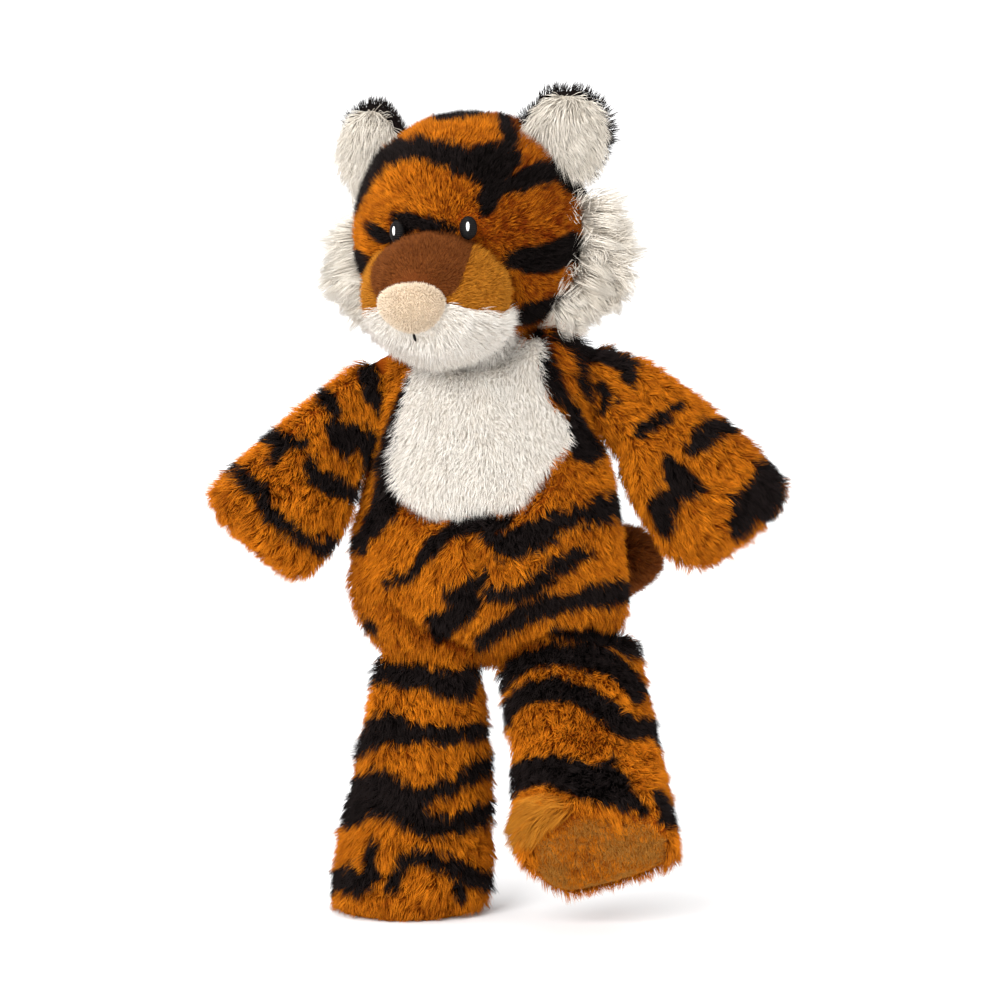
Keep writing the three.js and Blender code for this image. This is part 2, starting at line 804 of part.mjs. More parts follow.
function legGroup(side) {
  const limb = legLimb(side, kickAngles[side]);
  const group = groupAt(moved(hips[side].x, hips[side].y, hips[side].z));
  const floor = new THREE.BoxGeometry(2 * legLength, 2 * legLength, legLength);
  floor.translate(0, 0, -hips[side].z - legLength / 2);
  const shell = limbSkin(limb).subtract(toSolid(floor));
  const skin = shell.subtract(solePrism(limb, soleMargin - seamGap));
  group.add(piece(`leg_${side}_skin`, skin, "orange"));
  group.add(piece(`leg_${side}_stuffing`, limbStuffing(limb), "fibre"));
  group.add(piece(`sole_${side}`, shell.intersect(solePrism(limb, soleMargin)), "tan"));
  return group;
}

function tailGroup() {
  const group = groupAt(tailSeam());
  const limb = tailLimb();
  group.add(piece("tail_skin", limbSkin(limb), "tail"));
  group.add(piece("tail_stuffing", limbStuffing(limb), "fibre"));
  return group;
}

function neckPiece() {
  return piece("neck_stuffing", ball(neckRadius, neckPlace), "fibre");
}

const trunk = groupAt(trunkMatrix);
trunk.add(...bodyPieces());
trunk.add(neckPiece());
trunk.add(headGroup());
trunk.add(armGroup("left"));
trunk.add(armGroup("right"));
trunk.add(tailGroup());

const toy = new THREE.Group();
toy.add(trunk);
toy.add(legGroup("left"));
toy.add(legGroup("right"));
toy.updateMatrixWorld(true);

// The origin lies on the floor, under the middle of the toy.
const reach = new THREE.Box3().setFromObject(toy, true);
const middle = reach.getCenter(point(0, 0, 0));
toy.position.set(-middle.x, -middle.y, -reach.min.z);
toy.updateMatrixWorld(true);

// Where each seam turns, in the toy's own frame.
function pivot(matrix, axis) {
  const frame = toy.matrixWorld.clone().multiply(matrix);
  return {
    place: point(0, 0, 0).applyMatrix4(frame).toArray(),
    axis: axis.clone().transformDirection(frame).toArray(),
  };
}

const headInToy = trunkMatrix.clone().multiply(headMatrix);
const neckInToy = trunkMatrix.clone().multiply(moved(neckPlace.x, neckPlace.y, neckPlace.z));
const seamAxis = point(1, 0, 0);
toy.userData.pivots = {
  neck_turn: {
    place: pivot(neckInToy, seamAxis).place,
    axis: pivot(headInToy, point(0, 0, 1)).axis,
  },
  head_nod: {
    place: pivot(neckInToy, seamAxis).place,
    axis: pivot(headInToy, seamAxis).axis,
  },
  ear_left: pivot(headInToy.clone().multiply(earSeam("left")), seamAxis),
  ear_right: pivot(headInToy.clone().multiply(earSeam("right")), seamAxis),
  arm_left: pivot(trunkMatrix.clone().multiply(armSeam("left").matrix), seamAxis),
  arm_right: pivot(trunkMatrix.clone().multiply(armSeam("right").matrix), seamAxis),
  leg_left: pivot(moved(hips.left.x, hips.left.y, hips.left.z), seamAxis),
  leg_right: pivot(moved(hips.right.x, hips.right.y, hips.right.z), seamAxis),
  tail: pivot(trunkMatrix.clone().multiply(tailSeam()), seamAxis),
};

export default toy;
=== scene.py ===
import json
import math

import bmesh
import bpy
import numpy as np
from mathutils import Matrix, Vector, kdtree


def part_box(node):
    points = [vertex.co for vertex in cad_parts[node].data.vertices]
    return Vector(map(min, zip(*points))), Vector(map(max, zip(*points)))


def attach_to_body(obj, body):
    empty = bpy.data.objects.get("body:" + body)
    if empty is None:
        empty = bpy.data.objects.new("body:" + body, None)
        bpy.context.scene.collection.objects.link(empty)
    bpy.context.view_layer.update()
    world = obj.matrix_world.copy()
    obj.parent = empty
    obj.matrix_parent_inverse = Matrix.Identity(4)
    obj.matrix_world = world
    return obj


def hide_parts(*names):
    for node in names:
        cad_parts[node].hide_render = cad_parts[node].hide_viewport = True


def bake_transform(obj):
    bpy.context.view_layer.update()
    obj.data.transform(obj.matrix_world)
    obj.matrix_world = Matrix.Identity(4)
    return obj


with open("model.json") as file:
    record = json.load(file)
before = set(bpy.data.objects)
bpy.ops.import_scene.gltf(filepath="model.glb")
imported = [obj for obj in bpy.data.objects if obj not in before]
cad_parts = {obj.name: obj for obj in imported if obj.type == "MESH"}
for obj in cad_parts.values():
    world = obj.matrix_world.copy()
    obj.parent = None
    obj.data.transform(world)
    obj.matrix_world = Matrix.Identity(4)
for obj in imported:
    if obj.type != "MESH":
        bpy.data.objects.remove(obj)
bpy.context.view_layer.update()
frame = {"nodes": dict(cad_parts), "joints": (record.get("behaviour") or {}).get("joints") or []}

# Sizes are in metres. Left and right are the toy's own sides, and its front faces -Y.
MM = 0.001

# The photograph's frame
FRAME_PIXELS = 1000
PIXEL = 0.398 * MM
FLOOR_ROW = 915
CAMERA_DISTANCE = 1.2
CAMERA_RISE = math.radians(2)
CAMERA_ASIDE = 0.2 * MM
SENSOR_WIDTH = 36

SIDE_NAMES = ("left", "right")

# Each skin, in millimetres: the voxel it is remeshed at, how often it is smoothed, how far it swells
SKINS = {
    "torso": (3, 5, 1.2),
    "neck": (2, 3, 0.7),
    "head": (2.4, 5, -0.3),
    "nose": (1, 8, 0.6),
    "ruff": (1.6, 4, 0),
    "ear": (0.9, 2, 0),
    "limb": (2.4, 5, 0.7),
    "sole": (1, 3, 0.7),
}
WELD = 0.01 * MM
STUFFING_PUSH = 1.6 * MM
PUFF_STEPS = 20
PUFF_CAP = 2.5 * MM
PUFF_ROOM = 0.1 * MM
PUFF_PRESSURE = 4
PUFF_SMOOTHING = 2
LUMP_HEIGHT = 0.9 * MM
LUMP_SIZE = 11 * MM
FLOOR_CLEARANCE = 0.25 * MM

# Torso and neck
SHOULDER_RISE = 6 * MM
SHOULDER_ASIDE = (6 * MM, 16 * MM)
SHOULDER_HEIGHTS = (200 * MM, 216 * MM)
SHOULDER_GROWTH = 1.2
# Painted shade on the shoulder, where it meets the head
SHOULDER_SHADE = 0.7
HEM_HEIGHT = 16 * MM
HEM_GROWTH = 0.3
SIDEWAYS = 0.35
CHEST_PANEL = (0.8 * MM, 1.4 * MM)
CHEST_FRONT = 0.1
CHEST_WOBBLE = 3
CHEST_WOBBLE_SIZE = 5 * MM
FOLD_DEPTH = 5.5 * MM
FOLD_SOFTNESS = 7
FOLD_FRONT = (0, -0.4)
# Painted shade in the torso's folds
FOLD_SHADE = 0.8
THROAT_COLUMNS = (415, 532)
# Black patches on the neck: painted shade in the gap under the head
NECK_SHADE_LEVELS = (-0.2, 0.3)
NECK_SHADE_SIZE = 7 * MM

# Head, measured from the skull's own centre
SKULL_RISE = 48 * MM
SKULL_HALF = np.array([45.5, 41, 44.5]) * MM
MUZZLE_CENTRE = np.array([0, -33, -27]) * MM
MUZZLE_HALF = np.array([29.5, 27, 25.5]) * MM
MUZZLE_REACH = 1.08
MUZZLE_BACK = -20 * MM
FACE_PANEL = (0.6 * MM, 1.2 * MM)
CREASE_DEPTH = 3.4 * MM
CREASE_WIDTH = 0.12
CREASE_REACH = (1.35, 1.15)
BRIDGE_DROP = 16.5 * MM
BRIDGE_HALF = (18.8 * MM, 12 * MM, 17 * MM)
BRIDGE_ASIDE = 0.2 * MM
BRIDGE_POWER = 2.4
CHIN_DROP = 30 * MM
CHIN_SLOPE = 0.36
CHIN_LEVEL = 8 * MM
CHIN_WOBBLE = 1.6 * MM
CHIN_WOBBLE_SIZE = 4 * MM
# Painted shade on the side of the head away from the key light and in the crease round the muzzle, over
# a darker tone on all the head's pile
CREASE_AND_SIDE_SHADE = 0.7
SIDE_SHADE_REACH = 30 * MM
HEAD_DARKENING = 0.2
NOSE_TAPER = 26
NOSE_ASIDE = 0.8 * MM
NOSE_SQUEEZE = 0.9
NOSE_WIDTH = 0.94
NOSE_CLEARING = (0.35, 9 * MM, 17 * MM)
EYE_SINK = 2.4 * MM
EYE_ASIDE = 2.2 * MM
EYE_HALF = (3.5 * MM, 4.6 * MM, 2.2 * MM)
EYE_RISE = 2.6 * MM
EYE_CLEARING = (0.3, 4 * MM, 11 * MM)
# The eyes' glints: white ovals that are painted highlights
GLINT_HALF = (0.75 * MM, 1.9 * MM, 0.6 * MM)
GLINT_SEAT = 0.86
GLINT_RISE = 0.5 * MM
MOUTH_RISE = 4.2 * MM
MOUTH_LIFT = 2.6 * MM
MOUTH_HALF = (0.5 * MM, 2.0 * MM, 0.8 * MM)
OVAL_SEGMENTS = (32, 20)
EAR_RADIUS = 18 * MM
EAR_MIDDLE = 0.6 * EAR_RADIUS
EAR_SHORTER = 0.4
EAR_LAY_ABOVE = 1.2 * EAR_RADIUS
EAR_LAY_BELOW = 0.5 * EAR_RADIUS
EAR_FORWARDS = 0.2
EAR_FRONT_LIMIT = -0.3
EAR_BACK_LIMIT = 0.35
RUFF_START = 33 * MM
RUFF_PLACE = 3 * MM
RUFF_FRONT = 47 * MM
RUFF_LOW = -14 * MM
RUFF_LOW_START = 34 * MM
RUFF_SPREAD = 40 * MM
RUFF_BACKWARDS = 0.25
RUFF_SHORTEST = 0.62
RUFF_GROWTH = 0.62
RUFF_HEIGHTS = (-40 * MM, 4 * MM)

# Limbs
SEAM_TUCK = 6 * MM
SEAM_STRETCH = 7 * MM
SEAM_STRETCH_LENGTH = 20 * MM
ARM_BEND = 16 * MM
LEG_BEND = 18 * MM
TAIL_BEND = 12 * MM
LIMB_SAG = (0, 0, -0.25)
TOE_LAY = (-0.4, -0.1, -1)
SOLE_EDGE = 1 * MM
SOLE_SHORTEST = 0.35

# Stage and light
STAGE_HALF_WIDTH = 3
STAGE_DEPTHS = (-2.5, 1.6)
STAGE_HEIGHT = 3
STAGE_BEND = 0.8
STAGE_STEPS = 12
STAGE_GREYS = (0.86, 0.9)
LIGHT_AIM = (0, 0, 0.17)
LIGHTS = {
    "key": ((-0.8, -1.5, 0.9), 1.0, 40),
    "fill": ((1.2, -1.3, 0.4), 1.2, 10),
    "top": ((-0.1, 0.3, 1.6), 1.2, 8),
}
WORLD_STRENGTH = 1.05

# Colours as they look in daylight, from 0 to 255, save the painted shade marked below
BLACK = (9, 5, 4)
BLACK_LIGHT = (36, 29, 28)
BLACK_THREAD = ((3, 2, 2), (16, 13, 13))
# White of the eyes' glints: painted highlights
GLINT_WHITE = ((214, 212, 208), (248, 247, 244))

# Each tone of plush: its colour at the root and at the tip, whether it has stripes, and its slot. The
# darker root colour is painted shade deep in the pile.
TONES = {
    "orange": ((116, 44, 2), (226, 133, 24), True, "orange_plush"),
    "white": ((222, 213, 201), (250, 246, 239), False, "white_plush"),
    # A shaded copy of the white plush: painted shade for the ruffs and the ears' fronts
    "shaded_white": ((194, 184, 169), (241, 234, 223), False, "white_plush"),
    "black": (BLACK, BLACK_LIGHT, False, "black_plush"),
    "golden": ((128, 70, 8), (208, 136, 42), False, "golden_plush"),
    "brown": ((78, 36, 10), (134, 76, 34), False, "brown_velour"),
    "peach": ((206, 187, 162), (236, 217, 193), False, "peach_velour"),
    "tan": ((138, 80, 16), (198, 138, 62), False, "tan_velour"),
    # The tail's dark orange-brown is partly painted shade from the hip's shadow
    "tail": ((78, 34, 8), (140, 78, 30), False, "brown_plush"),
}
# The backing takes the root colour, a little towards the tip: painted shade under the pile
BACKING_SHARE = 0.35
CLOTH_SPECULAR = 0.06
THREAD_SPECULAR = 0.1

# Stripes, as they lie in the photograph: column, row and half width, in pixels.
# They run on over the edge of each part to its back.
HEAD_STRIPES = [
    [(352, 207, 8), (357, 190, 10), (366, 172, 10), (380, 158, 9), (400, 149, 10), (420, 147, 11),
     (440, 152, 12), (460, 159, 14), (480, 163, 18), (497, 163, 20), (508, 156, 14)],
    [(500, 184, 9), (520, 181, 10), (540, 171, 11), (556, 171, 10), (575, 184, 8), (592, 196, 6)],
    [(495, 184, 11), (490, 199, 9), (486, 211, 4)],
    [(438, 114, 4), (460, 111, 6), (488, 110, 4)],
    [(503, 116, 6), (510, 130, 7), (514, 145, 5)],
    [(400, 222, 9), (413, 223, 11), (427, 225, 9), (440, 227, 6), (451, 230, 4)],
    [(368, 228, 4), (380, 236, 6), (392, 240, 5)],
    [(514, 259, 9), (530, 259, 14), (548, 259, 14), (568, 249, 14), (590, 251, 11)],
    [(512, 318, 5), (530, 314, 9), (552, 308, 10), (572, 297, 8)],
    [(357, 263, 11), (348, 258, 9)],
]
HEAD_BACK_STRIPES = [
    [(400, 205, 9), (430, 214, 12), (465, 216, 11), (500, 212, 9), (540, 218, 12), (580, 226, 8)],
    [(352, 240, 8), (390, 256, 11), (430, 262, 10), (455, 256, 7)],
    [(480, 262, 7), (510, 268, 11), (560, 262, 12)],
    [(380, 306, 7), (420, 312, 11), (470, 308, 12), (520, 312, 9)],
    [(420, 130, 6), (470, 128, 9), (520, 134, 6)],
]
TORSO_STRIPES = [
    [(410, 378, 4), (403, 402, 6), (396, 425, 8), (390, 448, 10), (386, 470, 14), (391, 490, 16),
     (382, 512, 13), (370, 530, 9), (357, 547, 7)],
    [(388, 582, 4), (402, 581, 6), (413, 573, 6), (423, 560, 6), (431, 548, 7), (446, 534, 7),
     (460, 526, 9), (480, 524, 10), (498, 526, 8), (508, 519, 4)],
    [(482, 526, 8), (490, 539, 10), (505, 549, 12), (520, 545, 15), (535, 536, 14), (550, 527, 12),
     (570, 521, 9), (590, 516, 10), (605, 510, 14), (622, 508, 16)],
    [(488, 597, 7), (505, 596, 8), (525, 592, 7), (541, 582, 9), (557, 569, 10), (575, 559, 8),
     (590, 555, 4)],
    [(482, 645, 8), (492, 637, 10), (507, 629, 10), (522, 617, 10), (540, 609, 10), (560, 606, 9),
     (582, 601, 10), (602, 596, 12), (622, 592, 11)],
    [(431, 620, 6), (443, 627, 13), (458, 616, 12), (470, 604, 9)],
    [(452, 597, 8), (466, 593, 8), (478, 582, 6), (484, 573, 4)],
    [(367, 626, 6), (374, 630, 5)],
    [(560, 338, 5), (585, 342, 9), (600, 348, 10)],
    [(552, 633, 4), (580, 637, 6), (600, 640, 8), (620, 645, 10), (638, 656, 9)],
    [(512, 674, 7), (524, 664, 8), (539, 657, 10), (556, 655, 11), (577, 657, 11), (597, 660, 10)],
    [(538, 334, 6), (546, 352, 8), (552, 378, 10), (560, 394, 8), (568, 404, 5)],
    [(575, 350, 6), (588, 356, 8), (582, 378, 5), (592, 392, 9), (602, 402, 7)],
    [(566, 424, 6), (575, 438, 10), (586, 450, 13), (598, 452, 9)],
    [(570, 404, 5), (578, 424, 8), (586, 440, 8)],
]
TORSO_BACK_STRIPES = [
    [(420, 392, 7), (450, 402, 10), (485, 404, 10), (520, 398, 8)],
    [(410, 440, 8), (440, 446, 11), (480, 440, 10), (520, 446, 11), (560, 440, 7)],
    [(430, 486, 6), (465, 490, 10), (510, 482, 11), (560, 486, 8)],
]
ARM_LEFT_STRIPES = [
    [(592, 350, 11), (606, 354, 11), (620, 360, 9), (634, 361, 6)],
    [(628, 368, 8), (632, 381, 5)],
    [(602, 388, 7), (608, 400, 7), (600, 410, 5)],
    [(640, 431, 7), (652, 426, 7), (665, 418, 7), (680, 406, 6)],
    [(690, 451, 7), (702, 441, 11), (715, 432, 12), (730, 427, 9)],
    [(668, 462, 6), (676, 476, 13), (682, 487, 16), (695, 491, 10)],
    [(676, 492, 14), (662, 511, 13), (664, 527, 9), (666, 537, 4)],
    [(774, 464, 11), (770, 482, 17), (764, 499, 22), (748, 514, 15), (739, 530, 10)],
]
ARM_RIGHT_STRIPES = [
    [(366, 366, 8), (371, 385, 9), (374, 401, 8), (377, 411, 5)],
    [(403, 372, 8), (398, 387, 5)],
    [(324, 397, 8), (331, 403, 7), (336, 414, 6)],
    [(335, 432, 9), (345, 442, 13), (358, 436, 12), (370, 449, 12), (380, 468, 15), (380, 487, 16),
     (364, 498, 9), (348, 494, 8), (333, 486, 8), (318, 478, 8), (311, 466, 5)],
    [(268, 434, 8), (278, 447, 9), (273, 458, 6)],
    [(282, 444, 8), (302, 443, 5)],
    [(229, 466, 5), (238, 478, 8), (250, 487, 9), (263, 495, 9), (263, 508, 8), (276, 521, 8),
     (291, 533, 8), (306, 543, 8), (322, 549, 8), (337, 544, 5)],
]
LEG_RIGHT_STRIPES = [
    [(366, 677, 10), (390, 673, 12), (410, 677, 13), (430, 680, 12), (450, 688, 12), (466, 685, 13),
     (478, 668, 9)],
    [(350, 752, 8), (367, 743, 10), (379, 731, 14), (392, 729, 16), (407, 735, 12), (426, 734, 9),
     (446, 737, 9), (466, 737, 9), (484, 732, 8)],
    [(350, 813, 15), (360, 796, 21), (377, 795, 23), (395, 801, 21), (410, 804, 14)],
    [(412, 800, 9), (430, 797, 8), (446, 791, 8), (462, 783, 8), (480, 771, 9), (492, 764, 8)],
    [(408, 818, 13), (430, 828, 11), (450, 830, 10), (470, 822, 10), (494, 811, 9)],
    [(336, 880, 14), (358, 884, 13), (371, 878, 9), (368, 862, 6), (373, 848, 5)],
    [(392, 887, 7), (395, 873, 5), (405, 864, 5), (418, 859, 6), (432, 861, 8), (450, 867, 8),
     (466, 874, 9), (482, 881, 11), (500, 882, 9)],
    [(458, 890, 6), (463, 899, 4)],
]
LEG_LEFT_STRIPES = [
    [(500, 686, 7), (510, 672, 8), (522, 662, 9), (537, 655, 11), (556, 653, 12), (577, 655, 12),
     (597, 657, 11), (613, 663, 10), (626, 676, 9), (640, 694, 9)],
    [(560, 631, 4), (580, 633, 5), (600, 636, 8), (620, 641, 10), (638, 652, 9)],
    [(500, 720, 9), (514, 704, 10), (530, 693, 11), (550, 688, 11), (571, 692, 10), (590, 700, 10),
     (606, 711, 11), (621, 722, 11), (636, 730, 11), (651, 729, 10), (668, 742, 7)],
    [(500, 791, 10), (512, 780, 12), (531, 771, 14), (551, 770, 15), (571, 775, 16), (590, 782, 18),
     (610, 788, 20), (626, 799, 12), (642, 807, 6)],
    [(660, 796, 5), (666, 807, 6), (676, 820, 7), (664, 819, 5)],
    [(607, 764, 5), (613, 760, 4)],
]
STRIPE_GROWTH = 1.5
TIP_SHARE = 0.4
STRIPE_ROUGHNESS = 3.0
STRIPE_NOISE_SIZE = 6 * MM
STRIPE_SOFTNESS = 2.2
FAR_OUTSIDE = -1e3

# Lines that draw in or stretch an outline: a start, an end, and what becomes of each length beyond.
# Beyond is on the right of a line for someone who walks along it in the photograph.
TORSO_TRIMS = [((620, 640), (601, 460), 0.3), ((375, 500), (380, 640), 1.35)]
ARM_LEFT_TRIMS = [
    ((764, 474), (680, 397), 0.3),
    ((628, 470), (676, 560), 0.2),
    ((650, 545), (740, 545), 1.6),
]
ARM_RIGHT_TRIMS = [((214, 488), (306, 566), 0.35), ((357, 378), (240, 478), 0.4)]
LEG_LEFT_TRIMS = [
    ((666, 835), (629, 655), 0.3),
    ((577, 884), (668, 854), 0.3),
    ((525, 690), (525, 850), 1.3),
]
LEG_RIGHT_TRIMS = [((487, 800), (467, 655), 0.3), ((346, 820), (346, 905), 0.4)]
ARM_RIGHT_FOLDS = [
    [(226, 530, 3), (243, 514, 3), (252, 506, 1)],
    [(260, 558, 3), (272, 541, 3), (280, 530, 1)],
]
LEG_RIGHT_TUFTS = [(392, 850, 20), (436, 885, 18)]
TUFT_GROWTH = 0.8
TOE_OUTLINE = [(514, 806), (534, 797), (562, 790), (582, 800), (564, 814), (538, 826), (518, 834)]

# The outline of the white chest panel, and folds, which have a half width at each place
CHEST_OUTLINE = [
    (417, 340), (416, 372), (409, 395), (401, 422), (398, 450), (399, 478), (406, 497), (418, 511),
    (435, 515), (460, 510), (485, 508), (505, 509), (520, 500), (534, 484), (547, 466), (560, 450),
    (566, 434), (562, 418), (550, 402), (541, 383), (538, 360), (540, 340),
]
TORSO_FOLDS = [
    [(398, 500, 5), (430, 520, 7), (470, 517, 7), (520, 511, 6), (548, 476, 5)],
    [(463, 522, 5), (474, 548, 7), (479, 575, 7), (476, 600, 4)],
    [(392, 600, 3), (420, 628, 6), (455, 640, 7), (480, 652, 5)],
    [(500, 655, 5), (530, 642, 7), (560, 634, 7), (600, 628, 5)],
]

# Each pile, in millimetres: the length and width of a strand, strands for each square millimetre, how
# far they stand up, how untidy they are, how strongly they gather in tufts and how wide these are,
# how uneven their lengths are, and how far the tips droop.
PILE_FIELDS = ("length", "width", "density", "lift", "mess", "tuft", "tuft_size", "uneven", "droop")
PILES = {
    "plush": (6.6, 0.3, 2.9, 0.58, 0.32, 0.65, 2.8, 0.35, 0.3),
    "limb": (7.6, 0.3, 2.9, 0.5, 0.25, 0.7, 3.4, 0.4, 0.3),
    "toe": (13, 0.32, 3.4, 0.3, 0.16, 0.75, 4.5, 0.4, 0.2),
    "head": (5, 0.26, 3.7, 0.6, 0.28, 0.45, 2.0, 0.3, 0.2),
    "chest": (7, 0.26, 4.6, 0.5, 0.32, 0.3, 2.6, 0.25, 0.35),
    "chin": (8, 0.27, 4.4, 0.5, 0.26, 0.4, 2.8, 0.3, 0.4),
    "cheek": (4.4, 0.28, 4.2, 0.5, 0.28, 0.45, 1.8, 0.3, 0.2),
    "bridge": (3.2, 0.26, 6.0, 0.55, 0.24, 0.4, 1.8, 0.3, 0.1),
    "velour": (1.8, 0.26, 7.0, 0.85, 0.35, 0.25, 1.4, 0.35, 0.0),
    "ruff": (17, 0.34, 2.6, 0.26, 0.18, 0.85, 5.5, 0.35, 0.2),
    "ear_front": (10.5, 0.28, 4.4, 0.4, 0.22, 0.4, 3.2, 0.25, 0.2),
    "ear_back": (5.8, 0.3, 3.8, 0.45, 0.24, 0.5, 2.4, 0.3, 0.1),
    "tail": (5.5, 0.3, 3.0, 0.6, 0.3, 0.5, 2.4, 0.3, 0.2),
}
SWIRL = 0.6
SWIRL_SIZE = 14 * MM
LIFT_CHANGE = 0.3
LIFT_SIZE = 9 * MM
LENGTH_CHANGE = 0.18
LENGTH_SIZE = 7 * MM
SAG = np.array([0, 0, -0.35])
MIDDLE_PULL = 0.35
MIDDLE_WIDTH = 0.8
SHADE = 0.5
SHADE_SPREAD = 0.3
STRANDS_IN_A_PIECE = 19500
PLUSH_DRIFT = 0.95
PLAIN_DRIFT = 0.5
STRIPE_SCATTER = 0.7 * MM
STRIPE_TUFTS = 0.9 * MM
SIDES = 3
PER_SQUARE_MM = 1e6
MAP_MARGIN = 0.1
MAP_ROOT = 0.15
MAP_MIDDLE = 0.5
MAP_TIP = 0.95
MAP_BASE = [(0.1, 0.02), (0.5, 0.12), (0.9, 0.02)]

scene = bpy.context.scene


# Camera
def view_axes():
    forward = np.array([0, math.cos(CAMERA_RISE), -math.sin(CAMERA_RISE)])
    up = np.array([0, math.sin(CAMERA_RISE), math.cos(CAMERA_RISE)])
    target = np.array([CAMERA_ASIDE, 0, (FLOOR_ROW - FRAME_PIXELS / 2) * PIXEL])
    return target - forward * CAMERA_DISTANCE, forward, up


def make_camera():
    place = view_axes()[0]
    data = bpy.data.cameras.new("camera")
    data.sensor_width = SENSOR_WIDTH
    data.lens = SENSOR_WIDTH * CAMERA_DISTANCE / (FRAME_PIXELS * PIXEL)
    camera = bpy.data.objects.new("camera", data)
    camera.location = place
    camera.rotation_euler = (math.pi / 2 - CAMERA_RISE, 0, 0)
    scene.collection.objects.link(camera)
    scene.camera = camera


def to_photo(points):
    """Column and row of each point in the photograph."""
    place, forward, up = view_axes()
    apart = points - place
    focal = CAMERA_DISTANCE / PIXEL
    depth = apart @ forward
    half = FRAME_PIXELS / 2
    return np.stack([half + focal * apart[:, 0] / depth, half - focal * (apart @ up) / depth], 1)


# Noise on points
HASH_FACTORS = (374761393, 668265263, 2147483647)
HASH_SEED_FACTOR = 144665
HASH_MIX_FACTOR = 1274126177


def lattice_value(cell, seed):
    mixed = cell @ np.array(HASH_FACTORS) + seed * HASH_SEED_FACTOR
    mixed = (mixed ^ (mixed >> 13)) * HASH_MIX_FACTOR
    return ((mixed ^ (mixed >> 16)) & 0xFFFF) / 0xFFFF


def noise(points, size, seed):
    """Smooth noise from -1 to 1."""
    scaled = points / size
    cell = np.floor(scaled).astype(np.int64)
    part = scaled - cell
    part = part * part * (3 - 2 * part)
    total = np.zeros(len(points))
    for corner in np.ndindex(2, 2, 2):
        weight = np.prod(np.where(np.array(corner) == 1, part, 1 - part), 1)
        total += weight * lattice_value(cell + corner, seed)
    return 2 * total - 1


def unit(vectors):
    return vectors / np.maximum(np.linalg.norm(vectors, axis=-1, keepdims=True), 1e-9)


def smooth_step(low, high, value):
    share = np.clip((value - low) / (high - low), 0, 1)
    return share * share * (3 - 2 * share)


# Stripes
def stripe_depth(pixels, stripes):
    """How far inside the nearest stripe each pixel lies, negative outside."""
    deepest = np.full(len(pixels), FAR_OUTSIDE)
    for stripe in stripes:
        for start, end in zip(stripe, stripe[1:]):
            a = np.array(start[:2], float)
            along = np.array(end[:2], float) - a
            share = np.clip(((pixels - a) @ along) / (along @ along), 0, 1)
            gap = np.linalg.norm(pixels - (a + share[:, None] * along), axis=1)
            width = start[2] + (end[2] - start[2]) * share
            deepest = np.maximum(deepest, width - gap)
    return deepest


def striped(stripes, back_stripes=()):
    """A function for how black each place is."""

    def black(places, normals):
        pixels = to_photo(places)
        depth = stripe_depth(pixels, stripes)
        if back_stripes:
            behind = np.where(normals[:, 1] > 0, stripe_depth(pixels, back_stripes), FAR_OUTSIDE)
            depth = np.maximum(depth, behind)
        wobble = noise(places, STRIPE_NOISE_SIZE, 3) + 0.5 * noise(places, STRIPE_NOISE_SIZE / 2, 5)
        depth += STRIPE_GROWTH + STRIPE_ROUGHNESS * wobble
        return smooth_step(-STRIPE_SOFTNESS, STRIPE_SOFTNESS, depth)

    return black


# Frame of the head
joints = {joint["name"]: joint for joint in frame["joints"]}


def pivot(joint):
    return np.array(joints[joint]["pos_m"])


def axis(joint):
    return unit(np.array(joints[joint]["axis"], float))


HEAD_UP = axis("neck_turn")
HEAD_ACROSS = unit(axis("head_nod") - HEAD_UP * (axis("head_nod") @ HEAD_UP))
HEAD_BACK = np.cross(HEAD_UP, HEAD_ACROSS)
HEAD_AXES = np.stack([HEAD_ACROSS, HEAD_BACK, HEAD_UP])
SKULL_CENTRE = pivot("neck_turn") + SKULL_RISE * HEAD_UP


def in_head(points):
    apart = points - SKULL_CENTRE
    return apart @ HEAD_AXES.T


def centre_of(node):
    low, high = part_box(node)
    return (np.array(low) + np.array(high)) / 2


# Mesh helpers
def link(name, mesh):
    thing = bpy.data.objects.new(name, mesh)
    scene.collection.objects.link(thing)
    return thing


def points_of(thing, what="co"):
    values = np.zeros(len(thing.data.vertices) * 3)
    thing.data.vertices.foreach_get(what, values)
    return values.reshape(-1, 3)


def normals_of(thing):
    return points_of(thing, "normal")


def set_points(thing, values):
    thing.data.vertices.foreach_set("co", values.astype(np.float32).ravel())
    thing.data.update()


def linked(name, work):
    """An object made from a bmesh, which is freed."""
    mesh = bpy.data.meshes.new(name)
    work.to_mesh(mesh)
    work.free()
    return link(name, mesh)


def modify(thing, kind, **settings):
    modifier = thing.modifiers.new("change", kind)
    for key, value in settings.items():
        setattr(modifier, key, value)
    graph = bpy.context.evaluated_depsgraph_get()
    mesh = bpy.data.meshes.new_from_object(thing.evaluated_get(graph))
    thing.modifiers.clear()
    old = thing.data
    thing.data = mesh
    bpy.data.meshes.remove(old)


def joined_nodes(name, nodes):
    """One mesh of the CAD nodes, with each stuffing swollen into its cover."""
    whole = bmesh.new()
    for node in nodes:
        part = bmesh.new()
        part.from_mesh(frame["nodes"][node].data)
        bmesh.ops.remove_doubles(part, verts=part.verts, dist=WELD)
        bmesh.ops.recalc_face_normals(part, faces=part.faces)
        if node.endswith("stuffing"):
            part.normal_update()
            for vertex in part.verts:
                vertex.co += vertex.normal * STUFFING_PUSH
        mesh = bpy.data.meshes.new(name)
        part.to_mesh(mesh)
        part.free()
        whole.from_mesh(mesh)
        bpy.data.meshes.remove(mesh)
    return linked(name, whole)


